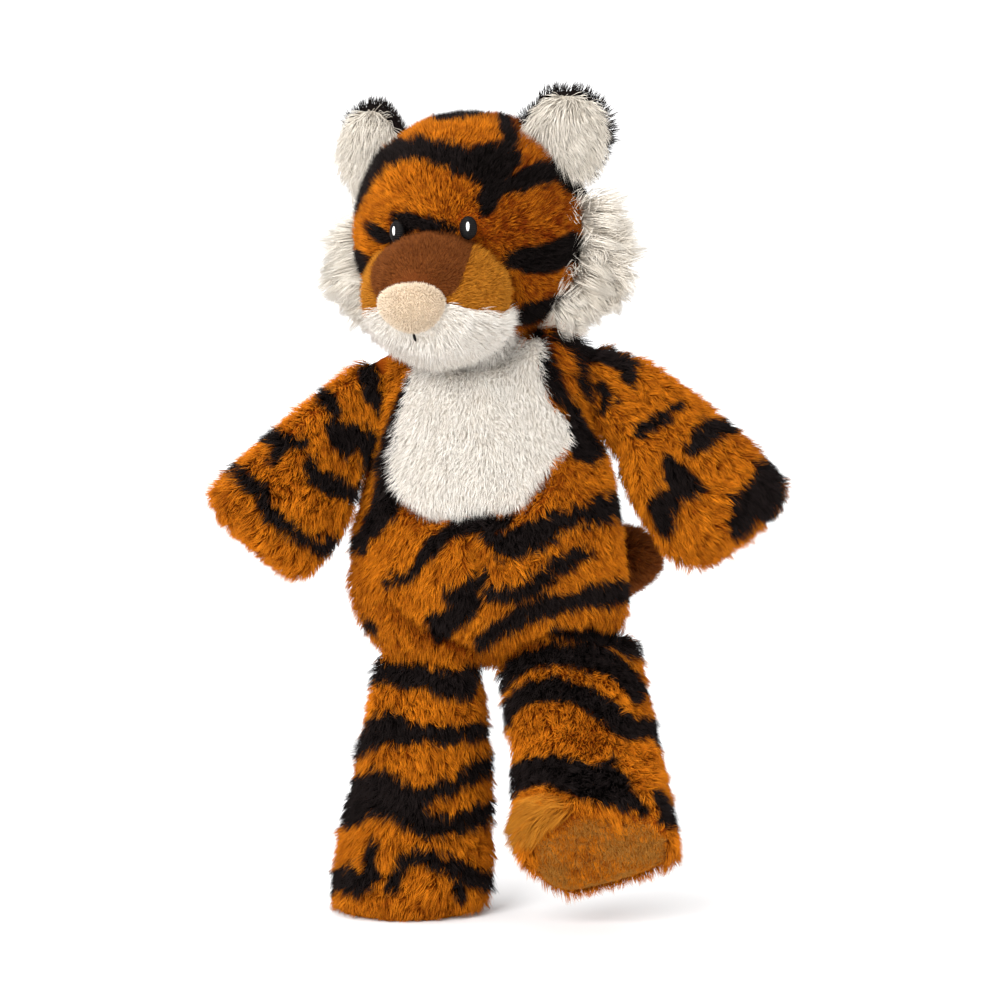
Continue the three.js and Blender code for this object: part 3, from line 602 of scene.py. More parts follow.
def keep_outer_shell(thing):
    work = bmesh.new()
    work.from_mesh(thing.data)
    seen = set()
    shells = []
    for start in work.verts:
        if start in seen:
            continue
        seen.add(start)
        shell = [start]
        for vertex in shell:
            for edge in vertex.link_edges:
                other = edge.other_vert(vertex)
                if other not in seen:
                    seen.add(other)
                    shell.append(other)
        shells.append(shell)
    shells.sort(key=lambda shell: max(v.co.z for v in shell) - min(v.co.z for v in shell))
    for shell in shells[:-1]:
        bmesh.ops.delete(work, geom=shell, context="VERTS")
    work.to_mesh(thing.data)
    work.free()


def offset(thing, distance):
    set_points(thing, points_of(thing) + normals_of(thing) * distance)


def puff(thing):
    """Blows the skin up a little as cloth, so that it creases and swells as a stuffed one does."""
    rest = points_of(thing)
    modifier = thing.modifiers.new("cloth", "CLOTH")
    cloth = modifier.settings
    cloth.use_pressure = True
    cloth.uniform_pressure_force = PUFF_PRESSURE
    cloth.effector_weights.gravity = 0
    for step in range(1, PUFF_STEPS + 1):
        scene.frame_set(step)
    graph = bpy.context.evaluated_depsgraph_get()
    blown = points_of(thing.evaluated_get(graph))
    thing.modifiers.clear()
    scene.frame_set(1)
    move = blown - rest
    length = np.linalg.norm(move, axis=1, keepdims=True)
    move *= np.minimum(1, PUFF_CAP / np.maximum(length, 1e-9))
    set_points(thing, rest + move)


def soft_form(name, nodes, kind, blown=False):
    """A smooth closed skin over CAD nodes."""
    voxel, smoothing, swelling = SKINS[kind]
    thing = joined_nodes(name, nodes)
    modify(thing, "REMESH", mode="VOXEL", voxel_size=voxel * MM)
    keep_outer_shell(thing)
    modify(thing, "SMOOTH", iterations=smoothing)
    if blown:
        offset(thing, -PUFF_ROOM)
        puff(thing)
        modify(thing, "SMOOTH", iterations=PUFF_SMOOTHING)
    offset(thing, swelling * MM)
    modify(thing, "SUBSURF", levels=1)
    places = points_of(thing)
    if blown:
        lumps = LUMP_HEIGHT * noise(places, LUMP_SIZE, 7)[:, None]
        places += lumps * normals_of(thing)
    places[:, 2] = np.maximum(places[:, 2], FLOOR_CLEARANCE)
    set_points(thing, places)
    thing.data.shade_smooth()
    return thing


def panel(name, skin, inside, rise, thickness):
    """A sewn-on panel: the skin's faces whose middle is inside, raised and given a thickness."""
    work = bmesh.new()
    work.from_mesh(skin.data)
    middles = np.array([face.calc_center_median() for face in work.faces])
    normals = np.array([face.normal for face in work.faces])
    keep = inside(middles, normals)
    loose = [face for face, kept in zip(work.faces, keep) if not kept]
    bmesh.ops.delete(work, geom=loose, context="FACES")
    thing = linked(name, work)
    offset(thing, rise)
    modify(thing, "SOLIDIFY", thickness=thickness, offset=-1)
    thing.data.shade_smooth()
    return thing


# Pile
def surface_points(skin, density, seed):
    """Evenly scattered points on a skin, with their normals."""
    mesh = skin.data
    mesh.calc_loop_triangles()
    corners = np.zeros(len(mesh.loop_triangles) * 3, np.int32)
    mesh.loop_triangles.foreach_get("vertices", corners)
    corners = corners.reshape(-1, 3)
    places = points_of(skin)
    normals = normals_of(skin)
    a, b, c = (places[corners[:, k]] for k in range(3))
    areas = np.linalg.norm(np.cross(b - a, c - a), axis=1) / 2
    rng = np.random.default_rng(seed)
    count = int(areas.sum() * density * PER_SQUARE_MM)
    steps = (np.arange(count) + rng.random(count)) / count
    chosen = np.searchsorted(np.cumsum(areas) / areas.sum(), steps).clip(0, len(corners) - 1)
    u, v = rng.random(count), rng.random(count)
    over = u + v > 1
    u[over], v[over] = 1 - u[over], 1 - v[over]
    weights = np.stack([1 - u - v, u, v], 1)[:, :, None]
    at = (places[corners[chosen]] * weights).sum(1)
    out = unit((normals[corners[chosen]] * weights).sum(1))
    return at, out, rng


def tuft_index(roots, size, rng):
    """The nearest of some scattered roots, which gather the others in tufts."""
    low, high = roots.min(0), roots.max(0)
    cells = np.floor((roots - low) / size).astype(np.int64)
    spans = np.floor((high - low) / size).astype(np.int64) + 1
    keys = (cells[:, 0] * spans[1] + cells[:, 1]) * spans[2] + cells[:, 2]
    order = rng.permutation(len(roots))
    first = np.unique(keys[order], return_index=True)[1]
    leaders = order[first]
    tree = kdtree.KDTree(len(leaders))
    for index, leader in enumerate(leaders):
        tree.insert(roots[leader], index)
    tree.balance()
    return leaders[np.array([tree.find(root)[1] for root in roots])]


def cover(name, skin, pile, tone, lay, seed, attachment, where=None, black=None,
          long=None, painted_shade=None):
    """Grows a pile on a skin as tapered strands, in pieces of a size that can be exported whole."""
    kind = dict(zip(PILE_FIELDS, PILES[pile]))
    roots, normals, rng = surface_points(skin, kind["density"], seed)
    if where is not None:
        kept = where(roots, normals)
        roots, normals = roots[kept], normals[kept]
    count = len(roots)
    flow = lay(roots, normals)
    flow = unit(flow - normals * (flow * normals).sum(1, keepdims=True))
    swirl = SWIRL * noise(roots, SWIRL_SIZE, seed + 1)
    across = np.cross(normals, flow)
    flow = flow * np.cos(swirl)[:, None] + across * np.sin(swirl)[:, None]
    lift = kind["lift"] * (1 + LIFT_CHANGE * noise(roots, LIFT_SIZE, seed + 2))
    start = unit(normals * lift[:, None] + flow * (1 - kind["lift"]))
    start = unit(start + kind["mess"] * rng.normal(size=(count, 3)))
    length = kind["length"] * MM * (1 + kind["uneven"] * rng.uniform(-1, 0.6, count))
    length *= 1 + LENGTH_CHANGE * noise(roots, LENGTH_SIZE, seed + 3)
    if long is not None:
        length *= long(roots, normals)
    finish = unit(start + kind["droop"] * (flow + SAG))
    middles = roots + start * (length * 0.5)[:, None]
    tips = middles + finish * (length * 0.5)[:, None]
    leader = tuft_index(roots, kind["tuft_size"] * MM, rng)
    pull = kind["tuft"] * rng.uniform(0.6, 1, count)[:, None]
    tips += (tips[leader] - tips) * pull
    middles += (middles[leader] - middles) * pull * MIDDLE_PULL
    for places in (middles, tips):
        places[:, 2] = np.maximum(places[:, 2], FLOOR_CLEARANCE)
    # Each strand and tuft gets a random tone; painted shade is taken off it where a mask is given
    shade = SHADE + SHADE_SPREAD * rng.uniform(-1, 1, count)
    shade += SHADE_SPREAD * rng.uniform(-1, 1, count)[leader]
    if painted_shade is not None:
        shade -= painted_shade(roots, normals)
    seen = middles * (1 - TIP_SHARE) + tips * TIP_SHARE
    slide = STRIPE_SCATTER * rng.normal(size=count) + STRIPE_TUFTS * rng.normal(size=count)[leader]
    dark = np.zeros(count) if black is None else black(seen + flow * slide[:, None], normals)
    pieces = math.ceil(count / STRANDS_IN_A_PIECE)
    for index in range(pieces):
        own = slice(index, count, pieces)
        piece = strands(f"{name}_{index + 1}", roots[own], middles[own], tips[own], kind["width"] * MM,
                        dark[own], shade[own], rng)
        piece.data.materials.append(PILE_LOOKS[tone])
        attach(piece, *attachment)


def strands(name, roots, middles, tips, width, dark, shade, rng):
    """Closed strands with three sides, a ring at the root, a ring halfway and a pointed tip."""
    count = len(roots)
    along = unit(tips - roots)
    side = unit(np.cross(along, rng.normal(size=(count, 3))))
    other = np.cross(along, side)
    rings = []
    for place, share in ((roots, 1), (middles, MIDDLE_WIDTH)):
        for k in range(SIDES):
            turn = 2 * math.pi * k / SIDES
            rings.append(place + (side * math.cos(turn) + other * math.sin(turn)) * (width * share / 2))
    rings.append(tips)
    places = np.stack(rings, 1).reshape(-1, 3)
    faces, spots = strand_faces()
    per_strand = 2 * SIDES + 1
    base = (np.arange(count) * per_strand)[:, None]
    loops = (base + np.concatenate(faces)[None, :]).ravel()
    sizes = np.tile([len(face) for face in faces], count)
    mesh = bpy.data.meshes.new(name)
    mesh.vertices.add(len(places))
    mesh.vertices.foreach_set("co", places.astype(np.float32).ravel())
    mesh.loops.add(len(loops))
    mesh.loops.foreach_set("vertex_index", loops.astype(np.int32))
    mesh.polygons.add(len(sizes))
    mesh.polygons.foreach_set("loop_start", (np.cumsum(sizes) - sizes).astype(np.int32))
    mesh.update(calc_edges=True)
    mesh.shade_smooth()
    height = np.array([0] * SIDES + [0.5] * SIDES + [1])
    add_values(mesh, "height", np.tile(height, count))
    add_values(mesh, "stripe", np.repeat(dark, per_strand))
    add_values(mesh, "shade", np.repeat(shade, per_strand))
    spread_map(mesh, count, spots)
    return link(name, mesh)


def strand_faces():
    """The corners of one strand's faces, and where each lies in the strand's own square of the map."""
    tip = 2 * SIDES
    faces, spots = [], []
    for k in range(SIDES):
        after = (k + 1) % SIDES
        left, right = (MAP_MARGIN + (1 - 2 * MAP_MARGIN) * corner / SIDES for corner in (k, k + 1))
        faces.append([k, after, SIDES + after, SIDES + k])
        spots += [(left, MAP_ROOT), (right, MAP_ROOT), (right, MAP_MIDDLE), (left, MAP_MIDDLE)]
        faces.append([SIDES + k, SIDES + after, tip])
        spots += [(left, MAP_MIDDLE), (right, MAP_MIDDLE), ((left + right) / 2, MAP_TIP)]
    faces.append(list(reversed(range(SIDES))))
    spots += MAP_BASE
    return faces, np.array(spots)


def spread_map(mesh, count, spots):
    """A map that gives each strand a square of its own, for baking its colours."""
    row_length = math.ceil(math.sqrt(count))
    cells = np.stack(np.divmod(np.arange(count), row_length), 1)[:, None, :]
    places = (cells + spots[None, :, :]) / row_length
    layer = mesh.uv_layers.new(name="OFBake")
    layer.data.foreach_set("uv", places.astype(np.float32).ravel())


def add_values(mesh, name, values):
    layer = mesh.attributes.new(name, "FLOAT", "POINT")
    layer.data.foreach_set("value", values.astype(np.float32))


# Materials
def linear(colour):
    shares = np.array(colour) / 255
    values = np.where(shares <= 0.04045, shares / 12.92, ((shares + 0.055) / 1.055) ** 2.4)
    return (*values, 1)


class Nodes:
    """A short way to write a material's nodes."""

    def __init__(self, name):
        self.material = bpy.data.materials.new(name)
        self.material.use_nodes = True
        self.tree = self.material.node_tree
        self.shader = self.tree.nodes["Principled BSDF"]

    def feed(self, value, socket):
        if isinstance(value, bpy.types.NodeSocket):
            self.tree.links.new(value, socket)
        else:
            socket.default_value = value

    def add(self, kind, inputs, output, **settings):
        made = self.tree.nodes.new(f"ShaderNode{kind}")
        for key, value in settings.items():
            setattr(made, key, value)
        for name, value in inputs.items():
            self.feed(value, made.inputs[name])
        return made.outputs[output]

    def value(self, name):
        return self.add("Attribute", {}, "Fac", attribute_name=name)

    def place(self):
        return self.add("TexCoord", {}, "Object")

    def mix(self, share, first, second):
        return self.add("Mix", {"Factor": share, "A": first, "B": second}, "Result", data_type="RGBA")

    def math(self, operation, first, second, clamp=False):
        return self.add("Math", {0: first, 1: second}, 0, operation=operation, use_clamp=clamp)

    def noise(self, scale, detail=2):
        return self.add("TexNoise", {"Scale": scale, "Detail": detail, "Vector": self.place()}, "Fac")

    def bump(self, height, strength, distance):
        inputs = {"Strength": strength, "Distance": distance, "Height": height}
        self.feed(self.add("Bump", inputs, "Normal"), self.shader.inputs["Normal"])

    def finish(self, colour, roughness, specular=0.5):
        looks = {"Base Color": colour, "Roughness": roughness, "Specular IOR Level": specular}
        for name, value in looks.items():
            self.feed(value, self.shader.inputs[name])
        return self.material


def pile_material(name, dark, light, striped, drift):
    """Strands that are darker at the root, which is painted shade deep in the pile, with each strand and
    tuft a little different.
    """
    nodes = Nodes(name)
    # Lighter towards the tip: painted shade deep in the pile
    up = nodes.math("MULTIPLY", nodes.value("height"), 0.55)
    tone = nodes.math("MULTIPLY", nodes.value("shade"), 0.5)
    wide = nodes.math("MULTIPLY", nodes.math("SUBTRACT", nodes.noise(50, 3), 0.5), drift)
    fine = nodes.math("MULTIPLY", nodes.math("SUBTRACT", nodes.noise(260), 0.5), drift)
    share = nodes.math("ADD", nodes.math("ADD", up, tone), nodes.math("ADD", wide, fine), clamp=True)
    colour = nodes.mix(share, linear(dark), linear(light))
    if striped:
        black = nodes.mix(share, linear(BLACK), linear(BLACK_LIGHT))
        colour = nodes.mix(nodes.value("stripe"), colour, black)
    return nodes.finish(colour, 0.75, CLOTH_SPECULAR)


def backing_material(name, dark, light, striped):
    """The knitted backing that shows between strands, in the dark root colour: painted shade under the
    pile.
    """
    nodes = Nodes(name)
    colour = nodes.mix(nodes.noise(160), linear(dark), linear(light))
    if striped:
        colour = nodes.mix(nodes.value("stripe"), colour, linear(BLACK))
    nodes.bump(nodes.noise(900, 4), 0.6, 0.4 * MM)
    return nodes.finish(colour, 0.9, CLOTH_SPECULAR)


def thread_material(name, dark, light):
    """Satin stitches side by side; the white ones make the eyes' glints, which are painted highlights.
    """
    nodes = Nodes(name)
    inputs = {"Scale": 420, "Distortion": 1.2, "Vector": nodes.place()}
    wave = nodes.add("TexWave", inputs, "Fac", bands_direction="Z")
    colour = nodes.mix(wave, linear(dark), linear(light))
    nodes.bump(wave, 0.5, 0.25 * MM)
    return nodes.finish(colour, 0.5, THREAD_SPECULAR)


PILE_LOOKS = {}
BACKING_LOOKS = {}
for look, (root_colour, tip_colour, has_stripes, _) in TONES.items():
    drift = PLUSH_DRIFT if has_stripes else PLAIN_DRIFT
    between = [a + (b - a) * BACKING_SHARE for a, b in zip(root_colour, tip_colour)]
    PILE_LOOKS[look] = pile_material(f"{look}_pile", root_colour, tip_colour, has_stripes, drift)
    BACKING_LOOKS[look] = backing_material(f"{look}_backing", root_colour, between, has_stripes)
EYE_LOOK = thread_material("eye_thread", *BLACK_THREAD)
# A painted highlight for each eye's glint
PAINTED_GLINT_LOOK = thread_material("painted_glint", *GLINT_WHITE)


# Dressing
def attach(thing, body, carrier=None, start=None, end=None):
    """Rides on a body, or, given a carrier, keeps its place baked into its points."""
    if carrier is None:
        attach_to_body(thing, body)
    else:
        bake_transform(thing)


def finish_skin(skin, tone, nodes, attachment, black=None):
    mesh = skin.data
    dark = np.zeros(len(mesh.vertices))
    if black is not None:
        dark = black(points_of(skin), normals_of(skin))
    add_values(mesh, "stripe", dark)
    mesh.materials.clear()
    mesh.materials.append(BACKING_LOOKS[tone])
    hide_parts(*nodes)
    attach(skin, *attachment)


def towards(direction):
    return lambda places, normals: np.tile(unit(np.array(direction, float)), (len(places), 1))


def away_from(place, bias=(0, 0, 0)):
    return lambda places, normals: unit(places - np.array(place)) + np.array(bias)


# Torso
def inside_outline(pixels, outline):
    """Whether each pixel lies inside a closed outline."""
    inside = np.zeros(len(pixels), bool)
    for (ax, ay), (bx, by) in zip(outline, outline[1:] + outline[:1]):
        if ay != by:
            crossing = ax + (pixels[:, 1] - ay) / (by - ay) * (bx - ax)
            inside ^= ((ay > pixels[:, 1]) != (by > pixels[:, 1])) & (pixels[:, 0] < crossing)
    return inside


def on_chest(places, normals):
    wobble = [noise(places, CHEST_WOBBLE_SIZE, seed) for seed in (17, 18)]
    pixels = to_photo(places) + CHEST_WOBBLE * np.stack(wobble, 1)
    return inside_outline(pixels, CHEST_OUTLINE) & (normals[:, 1] < CHEST_FRONT)


def in_folds(places, normals, folds=TORSO_FOLDS):
    inside = stripe_depth(to_photo(places), folds)
    return smooth_step(-FOLD_SOFTNESS, FOLD_SOFTNESS, inside) * smooth_step(*FOLD_FRONT, normals[:, 1])


def folded(skin, folds):
    """The places of a skin's points once its folds are pressed in."""
    places, normals = points_of(skin), normals_of(skin)
    return places - FOLD_DEPTH * normals * in_folds(places, normals, folds)[:, None]


def trim(skin, lines):
    """Draws in or stretches what lies beyond each line."""
    places = points_of(skin)
    for start, end, kept in lines:
        along = unit(np.subtract(end, start).astype(float))
        out = np.array([-along[1], along[0]])
        beyond = np.maximum((to_photo(places) - start) @ out, 0) * (1 - kept) * PIXEL
        places -= beyond[:, None] * np.array([out[0], 0, -out[1]])
    set_points(skin, places)


def on_shoulder(places):
    """The toy's left shoulder, which is drawn up towards the head."""
    aside = smooth_step(*SHOULDER_ASIDE, places[:, 0])
    return aside * smooth_step(*SHOULDER_HEIGHTS, places[:, 2])


# Painted shade: darker pile in the torso's folds and on the shoulder under the head
def painted_fold_shade(places, normals):
    shoulder = SHOULDER_SHADE * on_shoulder(places)
    return FOLD_SHADE * np.maximum(in_folds(places, normals), shoulder)


def torso_front(places, normals):
    return (normals[:, 1] <= 0) & ~on_chest(places, normals)


def torso_back(places, normals):
    return normals[:, 1] > 0


def torso_length(places, normals):
    """Longer pile at the hem, which hides the hips' seams, and on the shoulder."""
    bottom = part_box("body_skin")[0][2]
    low = HEM_GROWTH * smooth_step(bottom + HEM_HEIGHT, bottom, places[:, 2])
    return 1 + low + SHOULDER_GROWTH * on_shoulder(places)


def down(places, normals):
    return np.array([0, 0, -1]) + SIDEWAYS * normals * [1, 0, 0]


def make_torso():
    nodes = ["body_skin", "belly_patch", "body_stuffing"]
    black = striped(TORSO_STRIPES, TORSO_BACK_STRIPES)
    skin = soft_form("torso_skin", nodes, "torso", blown=True)
    trim(skin, TORSO_TRIMS)
    places = folded(skin, TORSO_FOLDS)
    places[:, 2] += SHOULDER_RISE * on_shoulder(places)
    set_points(skin, places)
    chest = panel("chest_panel", skin, on_chest, *CHEST_PANEL)
    cover("torso_fur_front", skin, "plush", "orange", down, 11, ["body"], torso_front, black,
          torso_length, painted_fold_shade)
    cover("torso_fur_back", skin, "plush", "orange", down, 12, ["body"], torso_back, black,
          torso_length)
    cover("chest_fur", skin, "chest", "white", down, 13, ["body"], on_chest)
    finish_skin(skin, "orange", ["body_skin", "body_stuffing"], ["body"], black)
    finish_skin(chest, "white", ["belly_patch"], ["body"])


def on_throat(places, normals):
    columns = to_photo(places)[:, 0]
    left, right = THROAT_COLUMNS
    return (columns > left) & (columns < right) & (places[:, 1] < pivot("neck_turn")[1])


def off_throat(places, normals):
    return ~on_throat(places, normals)


# Black patches: painted shade in the gap under the head
def neck_painted_shade(places, normals):
    return smooth_step(*NECK_SHADE_LEVELS, noise(places, NECK_SHADE_SIZE, 25))


def make_neck():
    """The gathered plush between the trunk and the head: white in front, and behind orange with black
    patches of painted shade under the head.
    """
    skin = soft_form("neck_plush", ["neck_stuffing"], "neck")
    cover("neck_fur_front", skin, "chest", "white", down, 21, ["neck"], on_throat)
    cover("neck_fur_rest", skin, "plush", "orange", down, 22, ["neck"], off_throat, neck_painted_shade)
    finish_skin(skin, "orange", ["neck_stuffing"], ["neck"], neck_painted_shade)


# Head
def skull_reach(local):
    return ((local / SKULL_HALF) ** 2).sum(1)


def on_muzzle(local):
    return (skull_reach(local) > MUZZLE_REACH) & (local[:, 1] < MUZZLE_BACK)


def in_crease(places):
    """How close each place is to the line where the muzzle meets the skull."""
    local = in_head(places)
    skull = np.sqrt(skull_reach(local))
    muzzle = np.sqrt((((local - MUZZLE_CENTRE) / MUZZLE_HALF) ** 2).sum(1))
    near = smooth_step(*CREASE_REACH, (skull + muzzle) / 2)
    return near * np.exp(-(((skull - muzzle) / CREASE_WIDTH) ** 2))


def on_bridge(places, normals):
    local = in_head(places)
    rise = local[:, 2] + BRIDGE_DROP
    width, upper, lower = BRIDGE_HALF
    aside = np.abs((local[:, 0] - BRIDGE_ASIDE) / width)
    edge = aside**BRIDGE_POWER + np.abs(rise / np.where(rise > 0, upper, lower)) ** BRIDGE_POWER
    return (edge < 1) & (local[:, 1] < 0) & (local[:, 2] > -CHIN_DROP)


def on_chin(places, normals):
    local = in_head(places)
    border = CHIN_WOBBLE * noise(places, CHIN_WOBBLE_SIZE, 23) - CHIN_DROP
    border -= CHIN_SLOPE * np.maximum(np.abs(local[:, 0]) - CHIN_LEVEL, 0)
    return on_muzzle(local) & (local[:, 2] < border)


def on_cheek(side):
    def inside(places, normals):
        local = in_head(places)
        rest = ~on_bridge(places, normals) & ~on_chin(places, normals)
        return on_muzzle(local) & (local[:, 0] * side > 0) & rest

    return inside


def skull_front(places, normals):
    local = in_head(places)
    return ~on_muzzle(local) & ~on_bridge(places, normals) & (local[:, 1] <= 0)


def skull_back(places, normals):
    return in_head(places)[:, 1] > 0


def nose_place():
    return centre_of("nose")


def cleared(places, centre, shortest, near, far):
    """How long the pile is around a piece that stands free of it."""
    gap = np.linalg.norm(places - centre, axis=1)
    return shortest + (1 - shortest) * smooth_step(near, far, gap)


def short_at_eyes(places, normals):
    return np.minimum(*[cleared(places, eye_place(side), *EYE_CLEARING) for side in SIDE_NAMES])


def short_at_nose(places, normals):
    return cleared(places, nose_place(), *NOSE_CLEARING)


# Painted shade on the side of the head away from the key light and in the muzzle's crease
def painted_side_shade(places, normals):
    side = smooth_step(0, SIDE_SHADE_REACH, in_head(places)[:, 0])
    return HEAD_DARKENING + (CREASE_AND_SIDE_SHADE - HEAD_DARKENING) * np.maximum(side, in_crease(places))


# Painted shade in the crease round the muzzle
def painted_crease_shade(places, normals):
    return CREASE_AND_SIDE_SHADE * in_crease(places)


def make_head():
    nodes = ["head_skin", "head_stuffing", "muzzle_left", "muzzle_right", "muzzle_chin", "nose_bridge"]
    skin = soft_form("head_plush", nodes, "head", blown=True)
    places = points_of(skin)
    press = CREASE_DEPTH * in_crease(places)[:, None]
    set_points(skin, places - press * normals_of(skin))
    away = away_from(nose_place())
    black = striped(HEAD_STRIPES, HEAD_BACK_STRIPES)
    panels = {
        "bridge_panel": (on_bridge, "brown", "bridge", "nose_bridge"),
        "cheek_panel_left": (on_cheek(1), "golden", "cheek", "muzzle_left"),
        "cheek_panel_right": (on_cheek(-1), "golden", "cheek", "muzzle_right"),
        "chin_panel": (on_chin, "white", "chin", "muzzle_chin"),
    }
    for seed, (name, (inside, tone, kind, node)) in enumerate(panels.items(), start=31):
        patch = panel(name, skin, inside, *FACE_PANEL)
        cover(f"{name}_fur", skin, kind, tone, away, seed, ["head"], inside, None, short_at_nose,
              painted_crease_shade)
        finish_skin(patch, tone, [node], ["head"])
    for name, where, seed in (("head_fur_front", skull_front, 41), ("head_fur_back", skull_back, 42)):
        cover(name, skin, "head", "orange", away, seed, ["head"], where, black, short_at_eyes,
              painted_side_shade)
    finish_skin(skin, "orange", ["head_skin", "head_stuffing"], ["head"], black)


def make_nose():
    skin = soft_form("nose_pad", ["nose"], "nose")
    middle = in_head(nose_place())
    local = in_head(points_of(skin)) - middle
    local[:, 0] *= NOSE_WIDTH * (1 + NOSE_TAPER * local[:, 2])
    local[:, 0] += NOSE_ASIDE
    local[:, 2] *= NOSE_SQUEEZE
    set_points(skin, SKULL_CENTRE + (middle + local) @ HEAD_AXES)
    cover("nose_fuzz", skin, "velour", "peach", away_from(nose_place()), 51, ["head"])
    finish_skin(skin, "peach", ["nose"], ["head"])


def oval(name, centre, out, half_width, half_height, half_depth):
    """A domed oval that faces outwards."""
    work = bmesh.new()
    around, along = OVAL_SEGMENTS
    bmesh.ops.create_uvsphere(work, u_segments=around, v_segments=along, radius=1)
    out = Vector(out).normalized()
    up = Vector((0, 0, 1))
    across = up.cross(out).normalized()
    up = out.cross(across)
    turn = Matrix((across, out, up)).transposed().to_4x4()
    size = Matrix.Diagonal((half_width, half_depth, half_height, 1))
    bmesh.ops.transform(work, matrix=Matrix.Translation(Vector(centre)) @ turn @ size, verts=work.verts)
    thing = linked(name, work)
    thing.data.shade_smooth()
    return thing


def stitched(name, place, out, half, look, node=None):
    """An oval on the head: embroidered thread on the eyes and the mouth, and a painted highlight on each
    eye.
    """
    thing = oval(name, place, out, *half)
    thing.data.materials.append(look)
    if node:
        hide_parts(node)
    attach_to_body(thing, "head")


def eye_place(side):
    return centre_of(f"eye_{side}") - HEAD_UP * EYE_SINK + HEAD_ACROSS * EYE_ASIDE


def make_eye(side):
    place = eye_place(side)
    out = unit(in_head(place) / SKULL_HALF**2 @ HEAD_AXES)
    stitched(f"eye_{side}_satin", place + out * EYE_RISE, out, EYE_HALF, EYE_LOOK, f"eye_{side}")
    # The glint is a painted highlight: a white oval on the eye
    glint_place = place + out * (EYE_RISE + EYE_HALF[2] * GLINT_SEAT) + HEAD_UP * GLINT_RISE
    stitched(f"eye_{side}_glint", glint_place, out, GLINT_HALF, PAINTED_GLINT_LOOK)


def make_mouth():
    place = centre_of("mouth_stitch")
    out = unit(place - SKULL_CENTRE - MUZZLE_CENTRE @ HEAD_AXES)
    place = place + out * MOUTH_RISE + HEAD_UP * MOUTH_LIFT
    stitched("mouth_thread", place, out, MOUTH_HALF, EYE_LOOK, "mouth_stitch")


def ruff_edge(places, normals):
    local = in_head(places)
    reach = np.abs(local[:, 0])
    low = (local[:, 2] < RUFF_LOW) & (reach > RUFF_LOW_START)
    return (reach > RUFF_START) & ((local[:, 1] > RUFF_PLACE) | (reach > RUFF_FRONT) | low)


def ruff_lay(places, normals):
    local = in_head(places)
    outwards = np.sign(local[:, 0])[:, None] * HEAD_ACROSS
    return outwards + local[:, 2:] / RUFF_SPREAD * HEAD_UP + RUFF_BACKWARDS * HEAD_BACK


def ruff_length(places, normals):
    return RUFF_SHORTEST + RUFF_GROWTH * smooth_step(*RUFF_HEIGHTS, in_head(places)[:, 2])


def make_ruff(side):
    node = f"cheek_ruff_{side}"
    skin = soft_form(f"{node}_base", [node], "ruff")
    # The ruff's pile is the shaded copy of the white plush: painted shade
    cover(f"{node}_fur", skin, "ruff", "shaded_white", ruff_lay, 61 + len(side), ["head"], ruff_edge,
          long=ruff_length)
    finish_skin(skin, "shaded_white", [node], ["head"])


def make_ear(side):
    ear = f"ear_{side}"
    front_place, back_place = centre_of(f"{ear}_front"), centre_of(f"{ear}_back")
    forwards = unit(front_place - back_place)

    def seen(places, normals):
        return normals @ forwards > EAR_FRONT_LIMIT

    def behind(places, normals):
        return normals @ forwards < EAR_BACK_LIMIT

    def short_at_top(places, normals):
        gap = np.linalg.norm(places - front_place, axis=1)
        edge = smooth_step(EAR_MIDDLE, EAR_RADIUS, gap)
        return 1 - EAR_SHORTER * edge * (places[:, 2] > front_place[2])

    front_lay = away_from(front_place + [0, 0, EAR_LAY_ABOVE])
    back_lay = away_from(back_place - [0, 0, EAR_LAY_BELOW], forwards * EAR_FORWARDS)
    # The ear's front is the shaded copy of the white plush: painted shade
    faces = (
        ("front", "shaded_white", front_lay, 71, seen, short_at_top),
        ("back", "black", back_lay, 76, behind, None),
    )
    for face, tone, lay, seed, where, long in faces:
        node = f"{ear}_{face}"
        skin = soft_form(f"{node}_skin", [node], "ear")
        cover(f"{node}_fur", skin, f"ear_{face}", tone, lay, seed + len(side), [ear], where, long=long)
        finish_skin(skin, tone, [node], [ear])


# Limbs
def stretch_to_seam(skin, root, along):
    """Draws the root of a limb back to its seam, which the smoothing has shortened."""
    places = points_of(skin)
    share = 1 - smooth_step(0, SEAM_STRETCH_LENGTH, (places - root) @ along)
    set_points(skin, places - along * SEAM_STRETCH * share[:, None])


def off_sole(side):
    low, high = (np.array(corner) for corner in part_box(f"sole_{side}"))

    def share(places, normals):
        inside = ((places > low - SOLE_EDGE) & (places < high + SOLE_EDGE)).all(1)
        return np.where(inside, SOLE_SHORTEST, 1)

    return share


def tufted_foot(places, normals):
    pixels = to_photo(places)
    growth = np.ones(len(places))
    for column, row, radius in LEG_RIGHT_TUFTS:
        gap = np.linalg.norm(pixels - (column, row), axis=1)
        growth += TUFT_GROWTH * smooth_step(radius, 0, gap) * (normals[:, 1] < 0)
    return growth * off_sole("right")(places, normals)


def on_toes(places, normals):
    return inside_outline(to_photo(places), TOE_OUTLINE) & (normals[:, 1] < 0)


